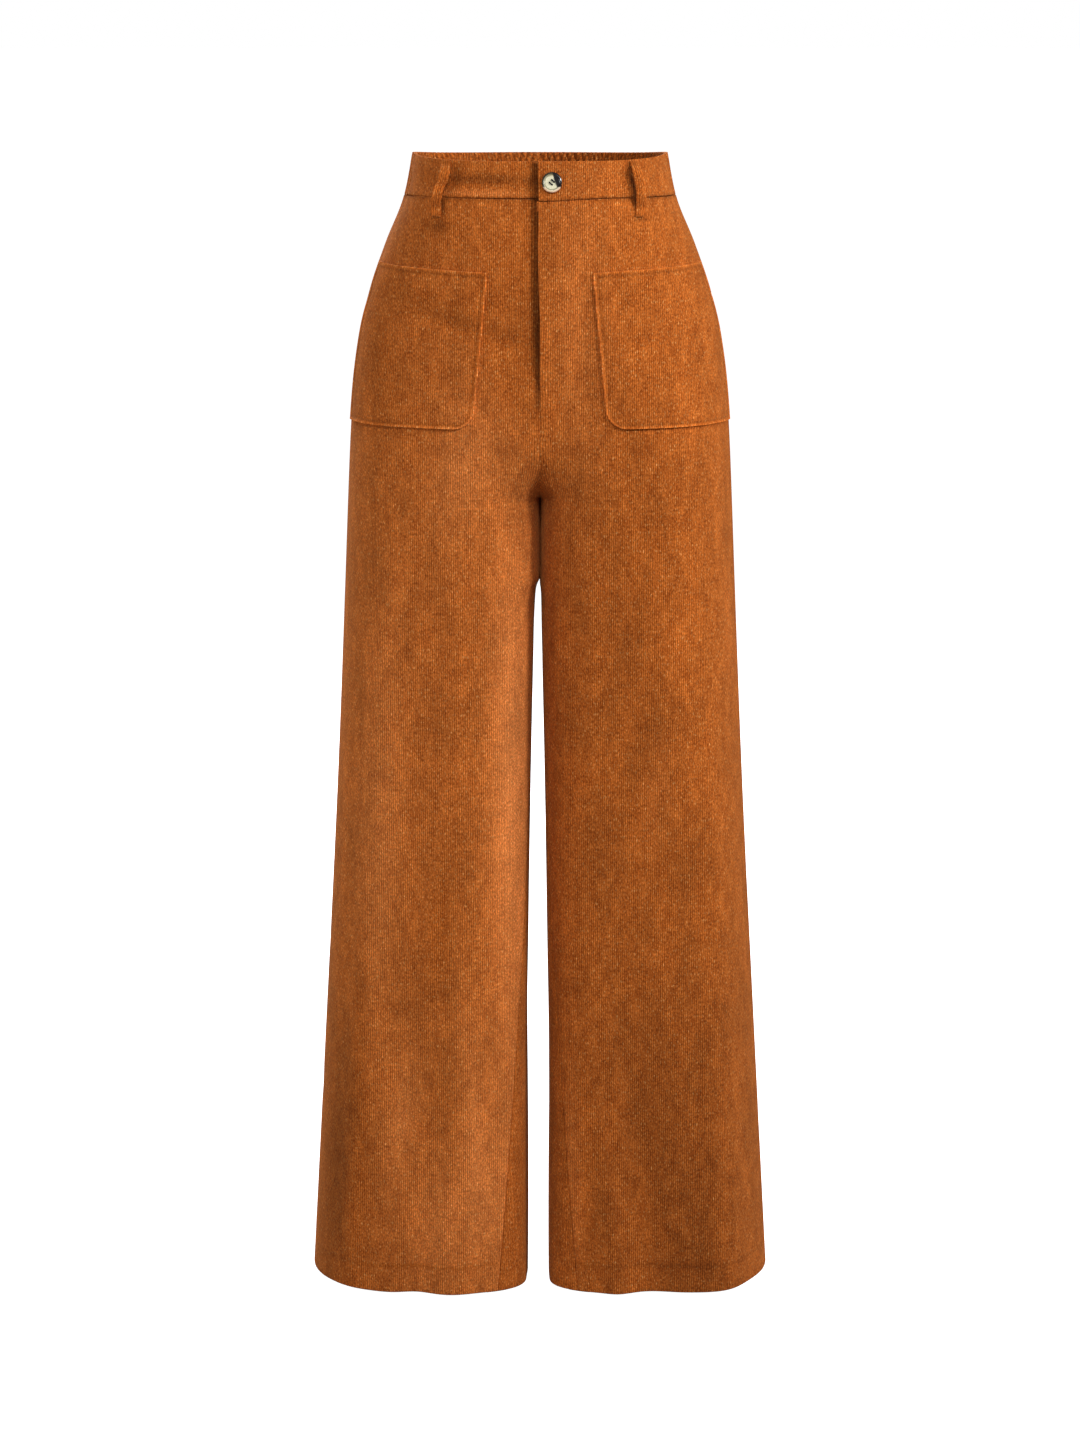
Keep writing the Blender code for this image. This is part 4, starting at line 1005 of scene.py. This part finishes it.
class Finish:
    """A procedural material in the making: its shader and the few kinds of node the finishes are built from."""

    def __init__(self, name):
        self.material = bpy.data.materials.new(name)
        self.material.use_nodes = True
        self.tree = self.material.node_tree
        self.shader = self.tree.nodes["Principled BSDF"]

    def add(self, kind, **values):
        node = self.tree.nodes.new(kind)
        for key, value in values.items():
            setattr(node, key, value)
        return node

    def fill(self, sockets, key, value):
        """Sets an input to a number or colour, or links an output to it."""
        if isinstance(value, bpy.types.NodeSocket):
            self.tree.links.new(value, sockets[key])
        elif isinstance(value, tuple):
            plain = sockets[key].type == "VECTOR"
            sockets[key].default_value = value if plain else (*value, 1.0)
        else:
            sockets[key].default_value = value

    def set(self, **values):
        for key, value in values.items():
            self.fill(self.shader.inputs, key.replace("_", " "), value)

    def coordinates(self):
        return self.add("ShaderNodeTexCoord").outputs["Object"]

    def noise(self, place, scale, detail=2.0, roughness=0.55):
        mapping = self.add("ShaderNodeMapping")
        self.fill(mapping.inputs, "Vector", place)
        self.fill(mapping.inputs, "Scale", scale)
        texture = self.add("ShaderNodeTexNoise")
        self.fill(texture.inputs, "Vector", mapping.outputs["Vector"])
        self.fill(texture.inputs, "Scale", 1.0)
        self.fill(texture.inputs, "Detail", detail)
        self.fill(texture.inputs, "Roughness", roughness)
        return texture.outputs["Fac"]

    def spread(self, value, low, high, to_low=0.0, to_high=1.0, kind="LINEAR"):
        node = self.add("ShaderNodeMapRange", interpolation_type=kind)
        self.fill(node.inputs, "Value", value)
        for key, number in (("From Min", low), ("From Max", high), ("To Min", to_low), ("To Max", to_high)):
            self.fill(node.inputs, key, number)
        return node.outputs["Result"]

    def math(self, operation, first, second):
        node = self.add("ShaderNodeMath", operation=operation)
        self.fill(node.inputs, 0, first)
        self.fill(node.inputs, 1, second)
        return node.outputs["Value"]

    def blend(self, share, first, second):
        node = self.add("ShaderNodeMix", data_type="RGBA")
        self.fill(node.inputs, 0, share)
        self.fill(node.inputs, 6, first)
        self.fill(node.inputs, 7, second)
        return node.outputs[2]

    def scaled(self, colour, factor):
        node = self.add("ShaderNodeVectorMath", operation="SCALE")
        self.fill(node.inputs, 0, colour)
        self.fill(node.inputs, "Scale", factor)
        return node.outputs["Vector"]

    def bump(self, height, strength, distance):
        node = self.add("ShaderNodeBump")
        self.fill(node.inputs, "Strength", strength)
        self.fill(node.inputs, "Distance", distance)
        self.fill(node.inputs, "Height", height)
        return node.outputs["Normal"]


def corduroy():
    """Fine-wale corduroy: ribs along the pattern's length, with streaky pile and soft mottling."""
    made = bpy.data.materials.get("corduroy_pile")
    if made:
        return made
    look = bpy.context.scene.trouser_cloth
    finish = Finish("corduroy_pile")
    pattern = finish.add("ShaderNodeUVMap", uv_map="pattern").outputs["UV"]
    wale = finish.add("ShaderNodeTexWave", wave_type="BANDS", bands_direction="X", wave_profile="SIN")
    finish.fill(wale.inputs, "Scale", 2 * math.pi / (20.0 * look.wale_pitch))
    finish.fill(wale.inputs, "Distortion", 1.2)
    finish.fill(wale.inputs, "Detail", 1.0)
    finish.fill(wale.inputs, "Detail Scale", 0.35)
    finish.fill(wale.inputs, "Vector", pattern)
    rib = wale.outputs["Fac"]
    pile = finish.noise(pattern, (720.0, 430.0, 1.0), 2.0, 0.65)
    speck = finish.noise(pattern, (900.0, 300.0, 1.0), 1.0, 0.5)
    streak = finish.noise(pattern, (430.0, 80.0, 1.0), 2.0)
    mottle = finish.noise(pattern, (130.0, 60.0, 1.0), 3.0, 0.6)
    brushed = finish.noise(pattern, (48.0, 15.0, 1.0), 2.0)
    cloud = finish.noise(pattern, (17.0, 6.0, 1.0), 3.0)
    # Worn edges with a painted highlight
    wear_and_highlight = finish.add("ShaderNodeAttribute", attribute_name="wear_and_highlight").outputs["Fac"]
    # The painted light and shade that the pieces carry
    painted_light = finish.add("ShaderNodeAttribute", attribute_name="painted_light").outputs["Fac"]
    tone = finish.spread(rib, 0.0, 1.0, 0.68, 1.20)
    for value, low, high, depth in (
        (pile, 0.28, 0.72, look.grain),
        (streak, 0.3, 0.7, 0.08),
        (mottle, 0.3, 0.7, 0.09),
        (brushed, 0.3, 0.7, 0.12),
        (cloud, 0.3, 0.7, 0.12),
    ):
        tone = finish.math("MULTIPLY", tone, finish.spread(value, low, high, 1.0 - depth, 1.0 + depth))
    # Painted light and shade lighten or darken the pile's tone
    tone = finish.math("MULTIPLY", tone, finish.math("ADD", painted_light, 1.0))
    # Worn edges lightened further with a painted highlight
    tone = finish.math("ADD", tone, finish.math("MULTIPLY", wear_and_highlight, look.edge_wear_and_highlight))
    warmth = finish.math("ADD", finish.math("MULTIPLY", pile, 0.5), finish.math("MULTIPLY", mottle, 0.5))
    colour = finish.blend(finish.spread(warmth, 0.36, 0.62), look.deep_colour[:], look.light_colour[:])
    colour = finish.blend(finish.spread(speck, 0.60, 0.74, 0.0, 0.70), colour, BRIGHT_HAIRS)
    colour = finish.blend(finish.spread(speck, 0.38, 0.26, 0.0, 0.45), colour, DARK_HAIRS)
    # A paler hue where light is painted on the pile
    colour = finish.blend(finish.spread(painted_light, 0.0, 1.0, 0.0, 0.65), colour, PAINTED_HIGHLIGHT_HUE)
    height = finish.math("ADD", finish.math("MULTIPLY", rib, 0.65), finish.math("MULTIPLY", pile, 0.35))
    finish.set(
        Base_Color=finish.scaled(colour, tone),
        Normal=finish.bump(height, look.bump_strength, look.wale_height),
        Roughness=0.92,
        Specular_IOR_Level=0.08,
        Sheen_Weight=look.sheen,
        Sheen_Roughness=0.5,
        Sheen_Tint=(1.0, 0.42, 0.14),
    )
    return finish.material


def horn():
    """Polished horn: a cream dish, nearly black on the wearer's left.

    Round the dish lies a painted olive shade, and on the lower rim a painted peach highlight.
    """
    finish = Finish("polished_horn")
    place = finish.coordinates()
    axes = finish.add("ShaderNodeSeparateXYZ")
    finish.fill(axes.inputs, 0, place)
    low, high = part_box("waist_button")
    x = finish.math("SUBTRACT", axes.outputs["X"], (low[0] + high[0]) / 2)
    z = finish.math("SUBTRACT", axes.outputs["Z"], (low[2] + high[2]) / 2)
    squares = finish.math("ADD", finish.math("MULTIPLY", x, x), finish.math("MULTIPLY", z, z))
    radius = finish.math("SQRT", squares, 0.0)
    cloud = finish.noise(place, (260.0, 260.0, 90.0), 3.0)
    waver = finish.math("MULTIPLY", finish.math("SUBTRACT", cloud, 0.5), 0.004)
    across = finish.math("ADD", finish.math("ADD", x, finish.math("MULTIPLY", z, 0.30)), waver)
    upper = finish.spread(z, -0.0052, -0.0034, kind="SMOOTHSTEP")
    lower = finish.math("SUBTRACT", 1.0, upper)
    colour = finish.blend(finish.spread(cloud, 0.35, 0.65), HORN_CREAM, HORN_GREEN_CREAM)
    tan = finish.math("MULTIPLY", finish.spread(z, 0.0040, 0.0078), 0.8)
    colour = finish.blend(tan, colour, HORN_TAN)
    # A painted olive shade in the groove between the dish and the rim
    groove = finish.math("MULTIPLY", finish.spread(radius, 0.0056, 0.0063), finish.spread(radius, 0.0073, 0.0068))
    colour = finish.blend(finish.math("MULTIPLY", groove, 0.75), colour, HORN_GROOVE_SHADE)
    rim = finish.spread(radius, 0.0066, 0.0077, kind="SMOOTHSTEP")
    colour = finish.blend(finish.math("MULTIPLY", rim, upper), colour, HORN_DARK_RIM)
    dark = finish.math("MULTIPLY", finish.spread(across, 0.0020, 0.0036, kind="SMOOTHSTEP"), upper)
    colour = finish.blend(dark, colour, HORN_BLACK)
    # A painted peach highlight on the lower rim
    foot = finish.math("MULTIPLY", finish.spread(radius, 0.0069, 0.0075, kind="SMOOTHSTEP"), lower)
    colour = finish.blend(foot, colour, HORN_RIM_HIGHLIGHT)
    finish.set(
        Base_Color=colour,
        Roughness=0.25,
        Coat_Weight=0.10,
        Coat_Roughness=0.08,
        Normal=finish.bump(cloud, 0.05, 0.0002),
    )
    return finish.material


def grained(name, colour, scale, roughness, metallic=0.0, relief=0.0002):
    """A finish with a fine grain of its own, on Object coordinates."""
    finish = Finish(name)
    grain = finish.noise(finish.coordinates(), scale, 3.0)
    low = tuple((1 - GRAIN_SPREAD) * part for part in colour)
    high = tuple(min((1 + GRAIN_SPREAD) * part, 1.0) for part in colour)
    finish.set(
        Base_Color=finish.blend(finish.spread(grain, 0.3, 0.7), low, high),
        Roughness=finish.spread(grain, 0.3, 0.7, roughness * 0.85, min(roughness * 1.15, 1.0)),
        Metallic=metallic,
        Normal=finish.bump(grain, 0.3, relief),
    )
    return finish.material


def pale_floor():
    """White studio paper: the camera sees it lit through and plain, and it throws little light back up."""
    finish = Finish("studio_paper")
    grain = finish.noise(finish.coordinates(), (40.0, 40.0, 40.0), 2.0)
    finish.set(
        Base_Color=finish.blend(grain, (0.86, 0.86, 0.86), (0.88, 0.88, 0.88)),
        Roughness=0.95,
        Specular_IOR_Level=0.0,
        Emission_Color=(1.0, 1.0, 1.0),
        Emission_Strength=1.0,
    )
    dull = finish.add("ShaderNodeBsdfDiffuse")
    finish.fill(dull.inputs, "Color", (0.35, 0.35, 0.35))
    mix = finish.add("ShaderNodeMixShader")
    finish.fill(mix.inputs, 0, finish.add("ShaderNodeLightPath").outputs["Is Camera Ray"])
    finish.fill(mix.inputs, 1, dull.outputs["BSDF"])
    finish.fill(mix.inputs, 2, finish.shader.outputs["BSDF"])
    finish.fill(finish.tree.nodes["Material Output"].inputs, "Surface", mix.outputs["Shader"])
    return finish.material


class TrouserCloth(bpy.types.PropertyGroup):
    """Sizes and colours of the cloth."""

    thickness: FloatProperty(
        name="Cloth thickness", description="One layer, pile included", default=0.0011, unit="LENGTH"
    )
    fold_radius: FloatProperty(
        name="Edge radius", description="How tightly an edge is turned in", default=0.00125, unit="LENGTH"
    )
    hem_depth: FloatProperty(
        name="Hem depth", description="Cloth turned up inside the leg", default=0.027, unit="LENGTH"
    )
    pocket_thickness: FloatProperty(
        name="Pocket thickness", description="Patch pocket at its edges", default=0.0018, unit="LENGTH"
    )
    edge_ridge: FloatProperty(
        name="Pocket edge ridge", description="Rise of the turned edge", default=0.0008, unit="LENGTH"
    )
    loop_thickness: FloatProperty(
        name="Loop thickness", description="Folded belt loop strip", default=0.0016, unit="LENGTH"
    )
    gather_pitch: FloatProperty(
        name="Gather pitch", description="Space between the elastic's gathers", default=0.0062, unit="LENGTH"
    )
    gather_depth: FloatProperty(name="Gather depth", description="Rise of a gather", default=0.0009, unit="LENGTH")
    wale_pitch: FloatProperty(name="Wale pitch", description="Space between the ribs", default=0.00195, unit="LENGTH")
    grain: FloatProperty(name="Grain", description="Light and dark of the pile", default=0.42, subtype="FACTOR")
    # How much painted highlight and wear the turned edges get
    edge_wear_and_highlight: FloatProperty(
        name="Edge wear", description="How much lighter the turned edges are", default=0.22, subtype="FACTOR"
    )
    wale_height: FloatProperty(
        name="Wale height", description="Height of the ribs in the bump", default=0.0004, unit="LENGTH"
    )
    bump_strength: FloatProperty(
        name="Pile relief", description="Strength of the bump", default=0.6, subtype="FACTOR"
    )
    sheen: FloatProperty(
        name="Sheen", description="Glow of the pile at a glancing angle", default=0.25, subtype="FACTOR"
    )
    deep_colour: FloatVectorProperty(
        name="Deep colour", description="Rubbed and shaded pile", default=(0.324, 0.066, 0.0065), subtype="COLOR"
    )
    light_colour: FloatVectorProperty(
        name="Light colour", description="Raised pile", default=(0.458, 0.118, 0.017), subtype="COLOR"
    )


class TROUSERS_OT_leg_panels(bpy.types.Operator):
    """Makes the two front and two back leg panels"""

    bl_idname = "trousers.leg_panels"
    bl_label = "Leg panels"

    def execute(self, context):
        for label, side in (("right", -1), ("left", 1)):
            for face in FACES:
                leg_panel(f"{face}_panel_{label}_cloth", side, face)
        return {"FINISHED"}


class TROUSERS_OT_waistband(bpy.types.Operator):
    """Makes the two front halves and the gathered back of the waistband"""

    bl_idname = "trousers.waistband"
    bl_label = "Waistband"

    def execute(self, context):
        front_band("waistband_front_right_cloth", -1, -UNDERLAP)
        front_band("waistband_front_left_cloth", 1, FLY_LEANS[0].x)
        back_band("waistband_back_cloth")
        return {"FINISHED"}


class TROUSERS_OT_pockets(bpy.types.Operator):
    """Makes the two patch pockets"""

    bl_idname = "trousers.pockets"
    bl_label = "Patch pockets"

    def execute(self, context):
        patch_pocket("pocket_right_cloth", -1)
        patch_pocket("pocket_left_cloth", 1)
        return {"FINISHED"}


class TROUSERS_OT_belt_loops(bpy.types.Operator):
    """Makes the four belt loops"""

    bl_idname = "trousers.belt_loops"
    bl_label = "Belt loops"

    def execute(self, context):
        for label, side in (("right", -1), ("left", 1)):
            for face in FACES:
                belt_loop(f"belt_loop_{face}_{label}_cloth", side, face)
        return {"FINISHED"}


class TROUSERS_OT_fastenings(bpy.types.Operator):
    """Finishes the button, its thread and the fly zip"""

    bl_idname = "trousers.fastenings"
    bl_label = "Button and zip"

    def execute(self, context):
        finishes = {
            "waist_button": horn(),
            "button_thread": grained("dark_thread", THREAD_BLACK, (2500.0, 2500.0, 2500.0), 0.9),
            "zip_slider": grained("zip_brass", ZIP_BRASS, (700.0, 700.0, 700.0), 0.35, 1.0),
        }
        for name, finish in finishes.items():
            materials = bpy.data.objects[name].data.materials
            materials.clear()
            materials.append(finish)
        zip_tape()
        zip_teeth(finishes["zip_slider"])
        return {"FINISHED"}


class TROUSERS_OT_stage(bpy.types.Operator):
    """Makes the floor, the studio light and the camera"""

    bl_idname = "trousers.stage"
    bl_label = "Studio"

    def execute(self, context):
        scene = context.scene
        bm = bmesh.new()
        place = Matrix.Translation((0.0, 0.0, -LENGTH - HEM_CLEAR))
        bmesh.ops.create_grid(bm, x_segments=1, y_segments=1, size=FLOOR_HALF, matrix=place)
        floor = add_object("floor", bm)
        floor.data.materials.append(pale_floor())
        for name, place, aim, size, power in LAMPS:
            light = bpy.data.lights.new(name, "AREA")
            light.shape = "DISK"
            light.size = size
            light.energy = power
            lamp = bpy.data.objects.new(name, light)
            lamp.location = place
            lamp.rotation_euler = (Vector(aim) - Vector(place)).to_track_quat("-Z", "Y").to_euler()
            scene.collection.objects.link(lamp)
        world = bpy.data.worlds.new("studio")
        world.use_nodes = True
        nodes, links = world.node_tree.nodes, world.node_tree.links
        strength = nodes.new("ShaderNodeMapRange")
        strength.inputs["To Min"].default_value = STUDIO_AIR
        links.new(nodes.new("ShaderNodeLightPath").outputs["Is Camera Ray"], strength.inputs["Value"])
        links.new(strength.outputs["Result"], nodes["Background"].inputs["Strength"])
        nodes["Background"].inputs["Color"].default_value = (1.0, 1.0, 1.0, 1.0)
        scene.world = world
        scene.view_settings.view_transform = "Standard"
        view = bpy.data.cameras.new("camera")
        view.lens = CAMERA_LENS
        view.sensor_width = CAMERA_SENSOR
        camera = bpy.data.objects.new("camera", view)
        camera.location = CAMERA_PLACE
        camera.rotation_euler = (math.radians(CAMERA_TILT), 0.0, 0.0)
        scene.collection.objects.link(camera)
        scene.camera = camera
        return {"FINISHED"}


class TROUSERS_PT_panel(bpy.types.Panel):
    """Lists the pieces of the trousers"""

    bl_label = "Trousers"
    bl_space_type = "VIEW_3D"
    bl_region_type = "UI"
    bl_category = "Trousers"

    def draw(self, context):
        cloth = context.scene.trouser_cloth
        for name in TrouserCloth.__annotations__:
            self.layout.prop(cloth, name)
        for operator in OPERATORS:
            self.layout.operator(operator.bl_idname)


OPERATORS = (
    TROUSERS_OT_leg_panels,
    TROUSERS_OT_waistband,
    TROUSERS_OT_pockets,
    TROUSERS_OT_belt_loops,
    TROUSERS_OT_fastenings,
    TROUSERS_OT_stage,
)
CLASSES = (TrouserCloth, *OPERATORS, TROUSERS_PT_panel)


def register():
    for item in CLASSES:
        bpy.utils.register_class(item)
    bpy.types.Scene.trouser_cloth = PointerProperty(type=TrouserCloth)


def unregister():
    del bpy.types.Scene.trouser_cloth
    for item in reversed(CLASSES):
        bpy.utils.unregister_class(item)


def main():
    register()
    bpy.ops.trousers.leg_panels()
    bpy.ops.trousers.waistband()
    bpy.ops.trousers.pockets()
    bpy.ops.trousers.belt_loops()
    bpy.ops.trousers.fastenings()
    bpy.ops.trousers.stage()


if __name__ == "__main__":
    main()
